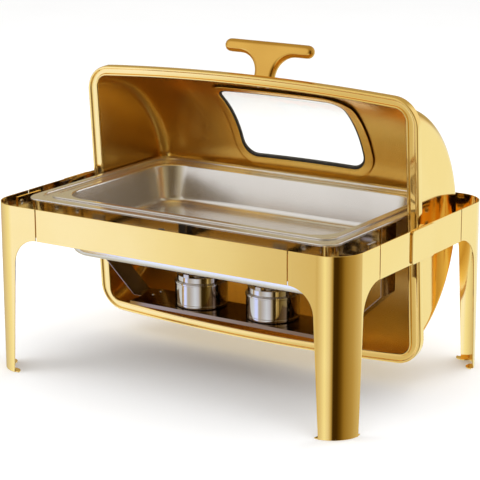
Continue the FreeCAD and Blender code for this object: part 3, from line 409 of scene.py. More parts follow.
# ---- Meshes ----
def new_piece(name: str, points: Iterable[Sequence[float]], faces: Iterable[Sequence[int]],
              materials: Sequence[bpy.types.Material]) -> bpy.types.Object:
    """Smooth object at the origin.

    Args:
        name: The piece's name.
        points: Places in metres.
        faces: Numbers of the points round each face.
        materials: Finishes, in slot order.

    Returns:
        The piece.
    """
    mesh = bpy.data.meshes.new(name)
    mesh.from_pydata([tuple(point) for point in points], [], [tuple(face) for face in faces])
    mesh.validate()
    for material in materials:
        mesh.materials.append(material)
    mesh.shade_smooth()
    piece = bpy.data.objects.new(name, mesh)
    bpy.context.scene.collection.objects.link(piece)
    return piece


def settle(piece: bpy.types.Object) -> bpy.types.Object:
    """Turn a piece's modifiers into plain mesh.

    Args:
        piece: The piece, changed in place.

    Returns:
        The same piece.
    """
    graph = bpy.context.evaluated_depsgraph_get()
    mesh = bpy.data.meshes.new_from_object(piece.evaluated_get(graph))
    piece.modifiers.clear()
    piece.data = mesh
    return piece


def outward(piece: bpy.types.Object) -> bpy.types.Object:
    """Merge doubles and point every face outwards.

    Args:
        piece: The piece, changed in place.

    Returns:
        The same piece.
    """
    body = bmesh.new()
    body.from_mesh(piece.data)
    bmesh.ops.remove_doubles(body, verts=body.verts, dist=1e-7)
    bmesh.ops.recalc_face_normals(body, faces=body.faces)
    body.to_mesh(piece.data)
    body.free()
    return piece


def sharpen(piece: bpy.types.Object, degrees: float) -> bpy.types.Object:
    """Keep edges sharper than an angle crisp in the shading."""
    piece.data.set_sharp_from_angle(angle=math.radians(degrees))
    return piece


def lofted(name: str, rings: Sequence[Sequence[Sequence[float]]], material: bpy.types.Material,
           capped: bool = False) -> bpy.types.Object:
    """Skin over a row of closed outlines.

    Args:
        name: The piece's name.
        rings: Outlines with the same number of points, in metres.
        material: Its finish.
        capped: Close both ends to a point; otherwise the last outline joins the first.

    Returns:
        The piece.
    """
    count, size = len(rings), len(rings[0])
    points = [point for outline in rings for point in outline]
    spans = count - 1 if capped else count
    faces: list[tuple[int, ...]] = []
    for row in range(spans):
        low, high = row * size, (row + 1) % count * size
        faces += [(low + i, low + (i + 1) % size, high + (i + 1) % size, high + i) for i in range(size)]
    if capped:
        for row in (0, count - 1):
            middle = sum((Vector(point) for point in rings[row]), Vector()) / size
            points.append(middle)
            faces += [(row * size + i, row * size + (i + 1) % size, len(points) - 1) for i in range(size)]
    return outward(new_piece(name, points, faces, [material]))


def turned(name: str, section: Sequence[Point2], centre: Vector, material: bpy.types.Material,
           closed: bool = False, spans: int = 96) -> bpy.types.Object:
    """Body turned about an upright axis.

    Args:
        name: The piece's name.
        section: Points as (radius, height) in millimetres above the centre.
        centre: Foot of the axis, in metres.
        material: Its finish.
        closed: Whether the section is a loop; otherwise it starts and ends on the axis.
        spans: Spans round the axis.

    Returns:
        The piece.
    """
    rings = []
    for radius, height in section:
        turns = [2 * math.pi * step / spans for step in range(spans)]
        reach = max(radius, 0.01) * MM
        rings.append([centre + Vector((reach * math.cos(t), reach * math.sin(t), height * MM)) for t in turns])
    return lofted(name, rings, material, capped=not closed)


def finish_piece(piece: bpy.types.Object, body: str, slot: Slot, *nodes: str) -> bpy.types.Object:
    """Give a finished piece to a body, in place of CAD nodes.

    Args:
        piece: The piece.
        body: The body that it rides on.
        slot: Its material slot; not used.
        nodes: CAD nodes that it replaces.

    Returns:
        The same piece.
    """
    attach(piece, body)
    if nodes:
        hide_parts(*nodes)
    LOG.info("%s: %d faces on %s", piece.name, len(piece.data.polygons), body)
    return piece


class Workshop:
    """Finishes by slot, and ways to dress or ease the CAD solids."""

    def __init__(self, frame: dict) -> None:
        """Make the finishes and sort the CAD nodes.
        """
        self.nodes: dict[str, bpy.types.Object] = frame["nodes"]
        self.joints: list[dict] = frame["joints"]
        self.bodies = {node: body for body, group in frame["record"]["behaviour"]["bodies"].items() for node in group}
        self.slots = {part["node"]: Slot(part["material_slot"]) for part in frame["record"]["subparts"]}
        self.finish = {finish.slot: finish.build() for finish in FINISHES}

    def merged(self, node: str) -> bpy.types.Object:
        """Copy of a CAD solid as one welded mesh with its flat faces whole.

        Args:
            node: The CAD node.

        Returns:
            The copy.
        """
        source = self.nodes[node].data
        points = [vertex.co.copy() for vertex in source.vertices]
        faces = [tuple(face.vertices) for face in source.polygons]
        piece = new_piece(node + "_finished", points, faces, [self.finish[self.slots[node]]])
        body = bmesh.new()
        body.from_mesh(piece.data)
        bmesh.ops.remove_doubles(body, verts=body.verts, dist=WELD)
        bmesh.ops.dissolve_limit(body, angle_limit=math.radians(0.5), verts=body.verts, edges=body.edges)
        body.to_mesh(piece.data)
        body.free()
        piece.data.shade_smooth()
        return piece

    def ease(self, node: str, radius: float, degrees: float = 32.0, steps: int = 2) -> bpy.types.Object:
        """Replace a CAD solid by a copy with its sharp edges rounded.

        Args:
            node: The CAD node.
            radius: Rounding in millimetres.
            degrees: Edges that turn by less stay as they are.
            steps: Spans of the rounding.

        Returns:
            The piece.
        """
        piece = self.merged(node)
        bevel = piece.modifiers.new("eased", "BEVEL")
        bevel.width = radius * MM
        bevel.segments = steps
        bevel.limit_method = "ANGLE"
        bevel.angle_limit = math.radians(degrees)
        bevel.harden_normals = True
        bevel.use_clamp_overlap = True
        piece.modifiers.new("even", "WEIGHTED_NORMAL").keep_sharp = True
        settle(piece)
        return finish_piece(piece, self.bodies[node], self.slots[node], node)

    def dress_rest(self) -> None:
        """Give every CAD solid that still shows its finish."""
        for name, node in self.nodes.items():
            if not node.hide_render:
                node.data.materials.clear()
                node.data.materials.append(self.finish[self.slots[name]])
                LOG.info("%s: dressed", name)

    def islands(self, node: str) -> list[tuple[Vector, Vector]]:
        """Box of each separate solid in a CAD node.

        Args:
            node: The CAD node.

        Returns:
            Both corners of each solid's box, in order of place.
        """
        body = bmesh.new()
        body.from_mesh(self.nodes[node].data)
        bmesh.ops.remove_doubles(body, verts=body.verts, dist=WELD)
        left, found = set(body.verts), []
        while left:
            group, edge = set(), [next(iter(left))]
            while edge:
                vertex = edge.pop()
                if vertex not in group:
                    group.add(vertex)
                    edge += [link.other_vert(vertex) for link in vertex.link_edges]
            left -= group
            axes = [[vertex.co[axis] for vertex in group] for axis in range(3)]
            found.append((Vector(map(min, axes)), Vector(map(max, axes))))
        body.free()
        return sorted(found, key=lambda box: tuple(round(value, 5) for value in box[0]))


# ---- Geometry nodes ----
class Tree:
    """Geometry node tree with named inputs for its sizes."""

    def __init__(self, name: str, sizes: dict[str, float]) -> None:
        """Start a tree.

        Args:
            name: The tree's name.
            sizes: Its inputs with their usual values in metres.
        """
        self.group = bpy.data.node_groups.new(name, "GeometryNodeTree")
        interface = self.group.interface
        interface.new_socket("Geometry", in_out="INPUT", socket_type="NodeSocketGeometry")
        interface.new_socket("Geometry", in_out="OUTPUT", socket_type="NodeSocketGeometry")
        interface.new_socket("Finish", in_out="INPUT", socket_type="NodeSocketMaterial")
        for label, size in sizes.items():
            interface.new_socket(label, in_out="INPUT", socket_type="NodeSocketFloat").default_value = size
        self.start = self.group.nodes.new("NodeGroupInput")
        self.end = self.group.nodes.new("NodeGroupOutput")

    def given(self, label: str) -> bpy.types.NodeSocket:
        """One of the tree's inputs."""
        return self.start.outputs[label]

    def node(self, kind: str, settings: dict | None = None, inputs: dict | None = None,
             output: int | str = 0) -> bpy.types.NodeSocket:
        """Add a node.

        Args:
            kind: The node's type.
            settings: Properties to set first.
            inputs: Values, or links from other nodes, by socket name or number.
            output: Which output to return.

        Returns:
            The chosen output.
        """
        made = self.group.nodes.new(kind)
        for name, value in (settings or {}).items():
            setattr(made, name, value)
        for key, value in (inputs or {}).items():
            if isinstance(value, bpy.types.NodeSocket):
                self.group.links.new(value, made.inputs[key])
            else:
                made.inputs[key].default_value = value
        return made.outputs[output]

    def times(self, size: bpy.types.NodeSocket, share: float) -> bpy.types.NodeSocket:
        """A size multiplied by a number."""
        return self.node("ShaderNodeMath", {"operation": "MULTIPLY"}, {0: size, 1: share})

    def vector(self, x: object, y: object, z: object) -> bpy.types.NodeSocket:
        """Three sizes as a vector."""
        return self.node("ShaderNodeCombineXYZ", inputs={0: x, 1: y, 2: z})

    def moved(self, shape: bpy.types.NodeSocket, z: object) -> bpy.types.NodeSocket:
        """A shape raised along its own axis."""
        return self.node("GeometryNodeTransform", inputs={"Geometry": shape, "Translation": self.vector(0.0, 0.0, z)})

    def finish(self, shape: bpy.types.NodeSocket) -> None:
        """Stand a shape on every point, facing its direction, make it real and set its finish.

        Args:
            shape: The shape, upright at the origin.
        """
        facing = self.node("GeometryNodeInputNamedAttribute", {"data_type": "FLOAT_VECTOR"}, {"Name": "facing"})
        turn = self.node("FunctionNodeAlignRotationToVector", {"axis": "Z"}, {"Vector": facing})
        inputs = {"Points": self.given("Geometry"), "Instance": shape, "Rotation": turn}
        copies = self.node("GeometryNodeInstanceOnPoints", inputs=inputs)
        real = self.node("GeometryNodeRealizeInstances", inputs={"Geometry": copies})
        smooth = self.node("GeometryNodeSetShadeSmooth", inputs={0: real, 2: False})
        done = self.node("GeometryNodeSetMaterial", inputs={"Geometry": smooth, "Material": self.given("Finish")})
        self.group.links.new(done, self.end.inputs[0])


def screw_tree() -> Tree:
    """Pan-head screw: a crowned head with a cross recess on a plain shank.

    Returns:
        The tree.
    """
    tree = Tree("pan_head_screws", {"Head radius": 0.0045, "Head height": 0.0025, "Shank radius": 0.0025,
                                    "Shank length": 0.002, "Recess": 0.0009})
    radius, height = tree.given("Head radius"), tree.given("Head height")
    ball = tree.node("GeometryNodeMeshUVSphere", inputs={"Segments": 28, "Rings": 16, "Radius": radius})
    ratio = tree.node("ShaderNodeMath", {"operation": "DIVIDE"}, {0: height, 1: radius})
    crown = tree.node("GeometryNodeTransform", inputs={"Geometry": ball, "Scale": tree.vector(1.0, 1.0, ratio)})
    wide = tree.times(radius, 3.0)
    floor_box = tree.node("GeometryNodeMeshCube", inputs={"Size": tree.vector(wide, wide, wide)})
    below = tree.moved(floor_box, tree.times(wide, -0.5))
    slots = []
    for first, second in (("Recess", None), (None, "Recess")):
        long_side = tree.times(radius, 1.1)
        sides = [tree.given("Recess") if side else long_side for side in (first, second)]
        bar = tree.node("GeometryNodeMeshCube", inputs={"Size": tree.vector(sides[0], sides[1], height)})
        slots.append(tree.moved(bar, height))
    cutters = tree.node("GeometryNodeJoinGeometry", inputs={"Geometry": below})
    join = cutters.node
    for bar in slots:
        tree.group.links.new(bar, join.inputs[0])
    head = tree.node("GeometryNodeMeshBoolean", {"operation": "DIFFERENCE"}, {"Mesh 1": crown, "Mesh 2": cutters})
    length = tree.given("Shank length")
    stem = tree.node("GeometryNodeMeshCylinder",
                     inputs={"Vertices": 20, "Radius": tree.given("Shank radius"), "Depth": length})
    both = tree.node("GeometryNodeJoinGeometry", inputs={"Geometry": head})
    tree.group.links.new(tree.moved(stem, tree.times(length, -0.5)), both.node.inputs[0])
    tree.finish(both)
    return tree


def rivet_tree() -> Tree:
    """Rivet: a low domed head on both ends of a shank.

    Returns:
        The tree.
    """
    tree = Tree("domed_rivets", {"Head radius": 0.0035, "Head height": 0.0016, "Grip": 0.003})
    radius, height, grip = (tree.given(label) for label in ("Head radius", "Head height", "Grip"))
    ball = tree.node("GeometryNodeMeshUVSphere", inputs={"Segments": 24, "Rings": 14, "Radius": radius})
    ratio = tree.node("ShaderNodeMath", {"operation": "DIVIDE"}, {0: height, 1: radius})
    dome = tree.node("GeometryNodeTransform", inputs={"Geometry": ball, "Scale": tree.vector(1.0, 1.0, ratio)})
    shank = tree.node("GeometryNodeMeshCylinder",
                      inputs={"Vertices": 20, "Radius": tree.times(radius, 0.57), "Depth": grip})
    both = tree.node("GeometryNodeJoinGeometry", inputs={"Geometry": tree.moved(dome, tree.times(grip, 0.5))})
    for part in (tree.moved(dome, tree.times(grip, -0.5)), shank):
        tree.group.links.new(part, both.node.inputs[0])
    tree.finish(both)
    return tree


@dataclass
class Fasteners:
    """One group of equal fasteners on one body."""

    node: str
    tree: Tree
    places: list[tuple[Vector, Vector]]
    sizes: dict[str, float] = field(default_factory=dict)

    def build(self, shop: Workshop) -> bpy.types.Object:
        """Make the group as one plain mesh in place of its CAD node.

        Args:
            shop: Finishes and CAD solids to work from.

        Returns:
            The piece.
        """
        slot = shop.slots[self.node]
        piece = new_piece(self.node + "_finished", [spot for spot, _ in self.places], [], [])
        facing = piece.data.attributes.new("facing", "FLOAT_VECTOR", "POINT")
        for index, (_, direction) in enumerate(self.places):
            facing.data[index].vector = direction
        modifier = piece.modifiers.new("fasteners", "NODES")
        modifier.node_group = self.tree.group
        sockets = {item.name: item.identifier for item in self.tree.group.interface.items_tree
                   if item.in_out == "INPUT"}
        modifier[sockets["Finish"]] = shop.finish[slot]
        for label, size in self.sizes.items():
            modifier[sockets[label]] = size
        settle(piece)
        sharpen(piece, 35.0)
        return finish_piece(piece, shop.bodies[self.node], slot, self.node)


# ---- Sub-assemblies ----
@dataclass
class Stand:
    """Four sheet legs, four rails, the plates behind the seams and the lid's pivots."""

    sheet_edge: float = 0.45
    plate_edge: float = 0.3
    cover_edge: float = 0.9

    def build(self, shop: Workshop) -> None:
        """Make and dress the stand.

        Args:
            shop: Finishes and CAD solids to work from.
        """
        sides = ("right", "left")
        for side in sides:
            shop.ease(f"leg_front_{side}", self.sheet_edge)
            shop.ease(f"leg_rear_{side}", self.sheet_edge)
            shop.ease(f"rail_{side}", self.sheet_edge)
            shop.ease(f"pivot_cover_{side}", self.cover_edge, steps=3)
            for name in ("joint_plate_front", "joint_plate_rear", "joint_plate_side_rear", "joint_plate_side_front",
                         "pivot_bracket", "pivot_pin", "pivot_nut", "stop_pin"):
                shop.ease(f"{name}_{side}", self.plate_edge)
        for name in ("rail_front", "rail_rear"):
            shop.ease(name, self.sheet_edge)
        shop.ease("pivot_washers", self.plate_edge / 2)
        Fasteners("joint_screws", screw_tree(), self.screw_places(shop)).build(shop)

    def screw_places(self, shop: Workshop) -> list[tuple[Vector, Vector]]:
        """Seat of each screw head and the way it faces, into the stand.

        Args:
            shop: Finishes and CAD solids to work from.

        Returns:
            Place and direction of each screw.
        """
        places = []
        for low, high in shop.islands("joint_screws"):
            size, middle = high - low, (low + high) / 2
            axis = min((0, 1), key=lambda index: size[index])
            inward = Vector((0, 0, 0))
            inward[axis] = -math.copysign(1, middle[axis])
            outer = high[axis] if middle[axis] > 0 else low[axis]
            middle[axis] = outer + inward[axis] * PLATE_THICKNESS
            places.append((middle, inward))
        return places


@dataclass
class Carrier:
    """Ring that the pans hang in, its polished apron, and the arms that join it to the stand."""

    edge: float = 0.4
    bumper_edge: float = 1.5

    def build(self, shop: Workshop) -> None:
        """Make and dress the carrier.

        Args:
            shop: Finishes and CAD solids to work from.
        """
        names = ["pan_carrier", "carrier_apron", "lid_rest"]
        names += [f"carrier_arm_{place}_{side}" for place in ("front", "side") for side in ("right", "left")]
        for name in names:
            shop.ease(name, self.edge)
        shop.ease("lid_rest_bumper", self.bumper_edge, steps=4)


@dataclass
class FuelShelf:
    """Shelf under the pans on two bent hangers."""

    edge: float = 0.35
    grip: float = 0.003

    def build(self, shop: Workshop) -> None:
        """Make and dress the shelf and its hangers in a dark brown copy of the polished steel, a painted dark
        reflection.

        Args:
            shop: Finishes and CAD solids to work from.
        """
        # Dark brown steel on the shelf and hangers: painted dark reflection.
        painted_dark_reflection = PAINTED_DARK_STEEL.build()
        for name in ("fuel_shelf", "shelf_hanger_right", "shelf_hanger_left"):
            shop.ease(name, self.edge).data.materials[0] = painted_dark_reflection
        places = [((low + high) / 2, Vector((0, 0, 1))) for low, high in shop.islands("shelf_rivets")]
        Fasteners("shelf_rivets", rivet_tree(), places, {"Grip": self.grip}).build(shop)


@dataclass
class Pan:
    """Pressed pan: a flange with a raised edge, a rounded shoulder, tapering walls and a rounded floor.

    Sizes are in millimetres, insets are from the flange's edge.
    """

    node: str
    wall_inset_top: float
    wall_inset_depth: float
    wall_inset_floor: float
    corner: float
    corner_body: float
    floor_radius: float
    edge_height: float
    edge_width: float
    shoulder: float
    crown: float
    sheet: float = 0.8
    flange: float = 1.2

    def section(self, low: float, high: float) -> list[Point2]:
        """Whole section from the underside of the floor over the flange to the inside of the floor.

        Args:
            low: Height of the underside.
            high: Height of the raised edge.

        Returns:
            Points as (inset, height).
        """
        flange_top = high - self.edge_height
        flange_low = flange_top - self.flange
        top, floor = self.wall_inset_top, self.wall_inset_floor
        deep = floor + self.floor_radius * 1.6
        return eased([
            (deep, low, 0),
            (floor, low, self.floor_radius),
            (top, flange_low, 3.0),
            (0.0, flange_low, self.flange * 0.6),
            (0.0, high, self.edge_width * 0.3),
            (self.edge_width, high, self.edge_width * 0.3),
            (self.edge_width + 0.8, flange_top, 1.2),
            (top + self.sheet, flange_top, self.shoulder),
            (floor + self.sheet, low + self.sheet, self.floor_radius - self.sheet),
            (deep + self.sheet, low + self.sheet, 0),
        ], steps=7)

    def build(self, shop: Workshop) -> None:
        """Make the pan in place of its CAD solid.

        Args:
            shop: Finishes and CAD solids to work from.
        """
        low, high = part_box(self.node)
        half_x, half_y = high.x / MM, high.y / MM
        section = self.section(low.z / MM, high.z / MM)
        rings = []
        for inset, height in section:
            share = min(inset / self.wall_inset_top, 1.0)
            deeper = max(inset - self.wall_inset_top, 0.0)
            inset_x, inset_y = share * self.wall_inset_top + deeper, share * self.wall_inset_depth + deeper
            corner = self.corner + (self.corner_body - self.corner) * share - deeper
            outline = ring(half_x - inset_x, half_y - inset_y, corner)
            rings.append([Vector((x, y, height)) * MM for x, y in outline])
        rings = self.floor(rings[0], 0.0)[::-1] + rings + self.floor(rings[-1], self.crown)
        piece = lofted(self.node + "_finished", rings, shop.finish[shop.slots[self.node]], capped=True)
        sharpen(piece, 60.0)
        finish_piece(piece, shop.bodies[self.node], shop.slots[self.node], self.node)

    def floor(self, outline: Sequence[Vector], crown: float) -> list[list[Vector]]:
        """Outlines that close a floor towards its middle, raised by a slight crown.

        Args:
            outline: The floor's outline, in metres.
            crown: Height of the crown, in millimetres.

        Returns:
            The outlines, from the outside in.
        """
        made = []
        for share in FLOOR_SHARES:
            lift = crown * MM * (1 - share) ** 2 * (1 + 2 * share)
            made.append([Vector((point.x * share, point.y * share, point.z + lift)) for point in outline])
        return made


@dataclass
class FuelHolder:
    """Fuel cup with a rolled ring, its stepped cover and the swivelling damper, on one side."""

    side: str
    radius: float = 43.2
    wall: float = 1.0
    ring_proud: float = 1.1
    ring_height: float = 3.5
    groove: float = 5.5
    cover_edge: float = 0.5
    damper_edge: float = 0.35
    crisp: float = 40.0

    def build(self, shop: Workshop) -> None:
        """Make the holder's three pieces.

        Args:
            shop: Finishes and CAD solids to work from.
        """
        low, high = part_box(f"fuel_cup_{self.side}")
        centre = Vector(((low.x + high.x) / 2, (low.y + high.y) / 2, low.z))
        height = (high.z - low.z) / MM
        cup = turned(f"fuel_cup_{self.side}_finished", self.cup_section(height), centre, self.finish(shop, "cup"))
        sharpen(cup, 50.0)
        finish_piece(cup, shop.bodies[f"fuel_cup_{self.side}"], Slot.STEEL_POLISHED, f"fuel_cup_{self.side}")
        shop.ease(f"fuel_cover_{self.side}", self.cover_edge, self.crisp, steps=3)
        shop.ease(f"fuel_damper_{self.side}", self.damper_edge, self.crisp)

    def finish(self, shop: Workshop, part: str) -> bpy.types.Material:
        """Finish of one of the holder's pieces."""
        return shop.finish[shop.slots[f"fuel_{part}_{self.side}"]]

    def cup_section(self, height: float) -> list[Point2]:
        """Half section: outside up, over the rolled ring and down inside, with a pressed line low down.

        Args:
            height: The cup's height.

        Returns:
            Points as (radius, height).
        """
        outside, inside = self.radius, self.radius - self.wall
        ring_low, proud, groove = height - self.ring_height, self.radius + self.ring_proud, self.groove
        return eased([
            (0, 0, 0), (outside - 6, 0, 0.8), (outside - 4, 0.6, 0.8), (outside, 0.8, 1.6),
            (outside, groove, 0.3), (outside - 0.5, groove + 0.6, 0.3), (outside, groove + 1.2, 0.3),
            (outside, ring_low, 0.4), (proud, ring_low + 0.3, 1.2), (proud, height, 1.4),
            (inside, height, 0.5), (inside, self.wall, 1.5), (0, self.wall, 0),
        ], steps=5)


@dataclass
class Lid:
    """Roll top lid: bulging dome with flat ends, rim, framed window, T handle and hinge plates.

    Sizes are in millimetres about the pivot axis, with the lid closed.
    """

    half_length: float = 292.0
    end_radius: float = 200.0
    bulge: float = 11.5
    edge_radius: float = 18.0
    sheet: float = 1.0
    mouth: float = 28.0
    rim_half_x: float = 311.0
    rim_half_y: float = 212.4
    rim_corner: float = 42.0
    window_half_x: float = 121.0
    window_half_y: float = 80.0
    window_corner: float = 28.0
    window_angle: float = 57.4
    glass: float = 3.0
    handle_angle: float = 23.0
    handle_grain: float = 1.1
    handle_foot: float = 14.0
    handle_passes: int = 60
    hinge_grip: float = 0.0046
    edge: float = 0.4
    skirt_rise: float = 8.8
    bead_drop: float = 3.8
    wall_spans: int = 6
    corner_steps: int = 12
    half_spans: int = 70
    arc_spans: int = 150
    window_gap: float = 4.0

    def build(self, shop: Workshop) -> None:
        """Make every piece of the lid.

        Args:
            shop: Finishes and CAD solids to work from.
        """
        hinge = next(joint for joint in shop.joints if joint["child"] == "lid")
        open_angle = math.radians(hinge["range_deg"][1])
        self.place = Matrix.Translation(hinge["pos_m"]) @ Matrix.Rotation(-open_angle, 4, "X")
        self.shell(shop)
        self.rim(shop)
        self.frame(shop)
        shop.ease("window_glass", self.edge)
        self.handle(shop)
        for side in ("right", "left"):
            shop.ease(f"lid_hinge_{side}", self.edge)
        self.fasteners(shop)

    def radius_at(self, x: float) -> float:
        """Outside radius of the barrel at a distance from its middle."""
        share = x / self.half_length
        return self.end_radius + self.bulge * (1 - share * share)

    def to_place(self, x: float, y: float, z: float) -> Vector:
        """Point of the closed lid, in millimetres, where it lies in the model, in metres."""
        return self.place @ (Vector((x, y, z)) * MM)

    def side_section(self) -> list[Point2]:
        """Outline of the shell, from the right end's foot over the barrel to the left.

        Returns:
            Points as (x, radius).
        """
        corner_radius = self.radius_at(self.half_length)
        drop = corner_radius - self.edge_radius - self.mouth
        wall = [corner_radius - self.edge_radius - step * step / self.wall_spans**2 * drop
                for step in range(self.wall_spans + 1)][::-1]
        right = [(self.half_length, radius) for radius in wall[:-1]]
        centre_x, centre_r = self.half_length - self.edge_radius, corner_radius - self.edge_radius
        for step in range(self.corner_steps + 1):
            turn = math.radians(90 * step / self.corner_steps)
            x = centre_x + self.edge_radius * math.cos(turn)
            over = self.radius_at(x) - corner_radius
            right.append((x, centre_r + (self.edge_radius + over) * math.sin(turn)))
        half = [centre_x * (1 - step / self.half_spans) for step in range(1, self.half_spans + 1)]
        right += [(x, self.radius_at(x)) for x in half]
        return right + [(-x, radius) for x, radius in right[-2::-1]]

    def shell(self, shop: Workshop) -> None:
        """Dome in two finishes: polished outside, satin inside.

        Args:
            shop: Finishes and CAD solids to work from.
        """
        section, spans = self.side_section(), self.arc_spans
        points, faces = [], []
        for x, radius in section:
            start = math.asin(min(self.mouth / radius, 1.0))
            for step in range(spans + 1):
                turn = start + (math.pi - 2 * start) * step / spans
                points.append((x, -radius * math.cos(turn), radius * math.sin(turn)))
        open_points = {index for index, point in enumerate(points) if self.in_window(point, self.window_gap)}
        for row in range(len(section) - 1):
            for step in range(spans):
                first = row * (spans + 1) + step
                face = (first, first + 1, first + spans + 2, first + spans + 1)
                if not open_points.intersection(face):
                    faces.append(face)
        outside, inside = shop.finish[Slot.GOLD_POLISHED], shop.finish[Slot.GOLD_SATIN]
        placed = [self.to_place(*point) for point in points]
        piece = new_piece("lid_shell_finished", placed, faces, [outside, inside])
        self.clean_skin(piece)
        wall = piece.modifiers.new("sheet", "SOLIDIFY")
        wall.thickness = self.sheet * MM
        wall.offset = -1.0
        wall.use_even_offset = True
        wall.material_offset = 1
        wall.material_offset_rim = 1
        settle(piece)
        sharpen(piece, 40.0)
        finish_piece(piece, "lid", Slot.GOLD_POLISHED, "lid_shell", "lid_end_right", "lid_end_left")

    def clean_skin(self, piece: bpy.types.Object) -> None:
        """Merge the skin's poles, drop loose points and point it away from the pivot axis.

        Args:
            piece: The skin, changed in place.
        """
        body = bmesh.new()
        body.from_mesh(piece.data)
        bmesh.ops.remove_doubles(body, verts=body.verts, dist=1e-6)
        bmesh.ops.delete(body, geom=[vertex for vertex in body.verts if not vertex.link_faces], context="VERTS")
        bmesh.ops.recalc_face_normals(body, faces=body.faces)
        axis = self.place.translation
        outer = max(body.faces, key=lambda face: (face.calc_center_median() - axis).length)
        if outer.normal.dot(outer.calc_center_median() - axis) < 0:
            bmesh.ops.reverse_faces(body, faces=body.faces)
        body.to_mesh(piece.data)
        body.free()

    def in_window(self, point: Sequence[float], grow: float) -> bool:
        """Whether a point of the closed dome lies inside the window's outline.

        Args:
            point: The point.
            grow: How much larger the outline is all round.

        Returns:
            True inside.
        """
        turn = math.radians(self.window_angle)
        forward, up = -point[1], point[2]
        across = abs(point[0])
        along = abs(up * math.cos(turn) - forward * math.sin(turn))
        if forward * math.cos(turn) + up * math.sin(turn) < 0:
            return False
        corner = self.window_corner + grow
        over_x = across - (self.window_half_x + grow - corner)
        over_y = along - (self.window_half_y + grow - corner)
        if over_x < 0 or over_y < 0:
            return over_x < corner and over_y < corner
        return math.hypot(over_x, over_y) < corner

    def rim(self, shop: Workshop) -> None:
        """Rim with a rolled outer bead, a groove and an inner ridge, and an upturned skirt.

        Args:
            shop: Finishes and CAD solids to work from.
        """
        inner_radius = self.end_radius - self.sheet
        inner_y = math.sqrt(inner_radius**2 - self.mouth**2)
        outer = ring(self.rim_half_x, self.rim_half_y, self.rim_corner, self.bulge, spans=40)
        inner = ring(self.half_length - self.sheet, inner_y, self.edge_radius, self.bulge, spans=40)
        top, low = self.mouth + self.skirt_rise, self.mouth - self.bead_drop
        rings = []
        for share, height in self.rim_section(top, low):
            outline = mix_rings(outer, inner, share)
            rings.append([self.to_place(x, y, height) for x, y in outline])
        piece = lofted("lid_rim_finished", rings, shop.finish[Slot.GOLD_POLISHED])
        sharpen(piece, 50.0)
        finish_piece(piece, "lid", Slot.GOLD_POLISHED, "lid_rim")

    def rim_section(self, top: float, low: float) -> list[Point2]:
        """Closed section of the rim.

        Args:
            top: Height of the skirt's top.
            low: Height of the bead's underside.

        Returns:
            Points as (share from the outer to the inner outline, height).
        """
        width = self.rim_half_x - self.half_length + self.sheet
        corners = [
            (0.0, top, 0.7), (1.6, top, 0.7), (1.6, self.mouth + 0.3, 1.2), (width - 0.2, self.mouth + 0.3, 0.3),
            (width, self.mouth, 0.3), (width, low + 1.0, 0.8), (width - 1.4, low, 0.9), (width - 3.6, low, 1.2),
            (width - 5.0, self.mouth - 1.4, 1.2), (6.0, self.mouth - 1.4, 1.4), (4.6, low, 1.8), (0.0, low, 2.2),
        ]
        return [(across / width, height) for across, height in eased(corners, steps=5, closed=True)]

    def window_ring(self, grow: float, height: float) -> list[Vector]:
        """Outline round the window, in place.

        Args:
            grow: How much larger than the window it is all round.
            height: Height over the dome's outside.

        Returns:
            The outline, in metres.
        """
        turn = math.radians(self.window_angle)
        made = []
        outline = ring(self.window_half_x + grow, self.window_half_y + grow, self.window_corner + grow)
        for across, along in outline:
            out = math.sqrt((self.radius_at(across) + height) ** 2 - along**2)
            forward = out * math.cos(turn) - along * math.sin(turn)
            up = out * math.sin(turn) + along * math.cos(turn)
            made.append(self.to_place(across, -forward, up))
        return made

    def frame(self, shop: Workshop) -> None:
        """Window surrounds outside and inside, and the black gasket between them.

        Args:
            shop: Finishes and CAD solids to work from.
        """
        back = -self.sheet - self.glass
        parts = (
            ("window_bezel", [(0.0, 0.1, 0.3), (0.0, 1.5, 0.8), (2.5, 1.5, 0.5), (4.0, 1.0, 1.0), (11.5, 1.0, 1.0),
                              (13.0, 1.5, 0.8), (15.0, 1.3, 0.6), (15.0, 0.1, 0.2)]),
            ("window_gasket", [(-3.4, back - 0.4, 0.5), (-3.4, 1.0, 0.9), (-0.1, 1.1, 0.5), (-0.1, back - 0.6, 0.3)]),
            ("window_retainer", [(0.1, back, 0.2), (14.9, back, 0.2), (14.9, back - 1.0, 0.5),
                                 (12.0, back - 1.4, 0.8), (2.0, back - 1.4, 0.6), (0.1, back - 1.0, 0.4)]),
        )
        for node, corners in parts:
            rings = [self.window_ring(grow, height) for grow, height in eased(corners, steps=4, closed=True)]
            slot = shop.slots[node]
            piece = lofted(node + "_finished", rings, shop.finish[slot])
            sharpen(piece, 50.0)
            finish_piece(piece, "lid", slot, node)

    def handle(self, shop: Workshop) -> None:
        """Cast T handle: its faces are relaxed until they crown, except at the foot, which stays on the dome.

        Args:
            shop: Finishes and CAD solids to work from.
        """
        piece = shop.merged("lid_handle")
        skin = piece.modifiers.new("cast", "REMESH")
        skin.mode = "VOXEL"
        skin.voxel_size = self.handle_grain * MM
        settle(piece)
        free = piece.vertex_groups.new(name="free")
        axis = self.place.translation
        foot = (self.end_radius + self.bulge) * MM
        for vertex in piece.data.vertices:
            away = (Vector((0, vertex.co.y, vertex.co.z)) - Vector((0, axis.y, axis.z))).length - foot
            free.add([vertex.index], min(max(away / (self.handle_foot * MM), 0.0), 1.0), "REPLACE")
        relaxed = piece.modifiers.new("relaxed", "SMOOTH")
        relaxed.factor, relaxed.iterations, relaxed.vertex_group = 0.5, self.handle_passes, free.name
        settle(piece)
        piece.data.shade_smooth()
        # The handle's darker gold copy is a painted dark reflection.
        piece.data.materials[0] = PAINTED_DARK_GOLD.build()
        finish_piece(piece, "lid", Slot.GOLD_POLISHED, "lid_handle")

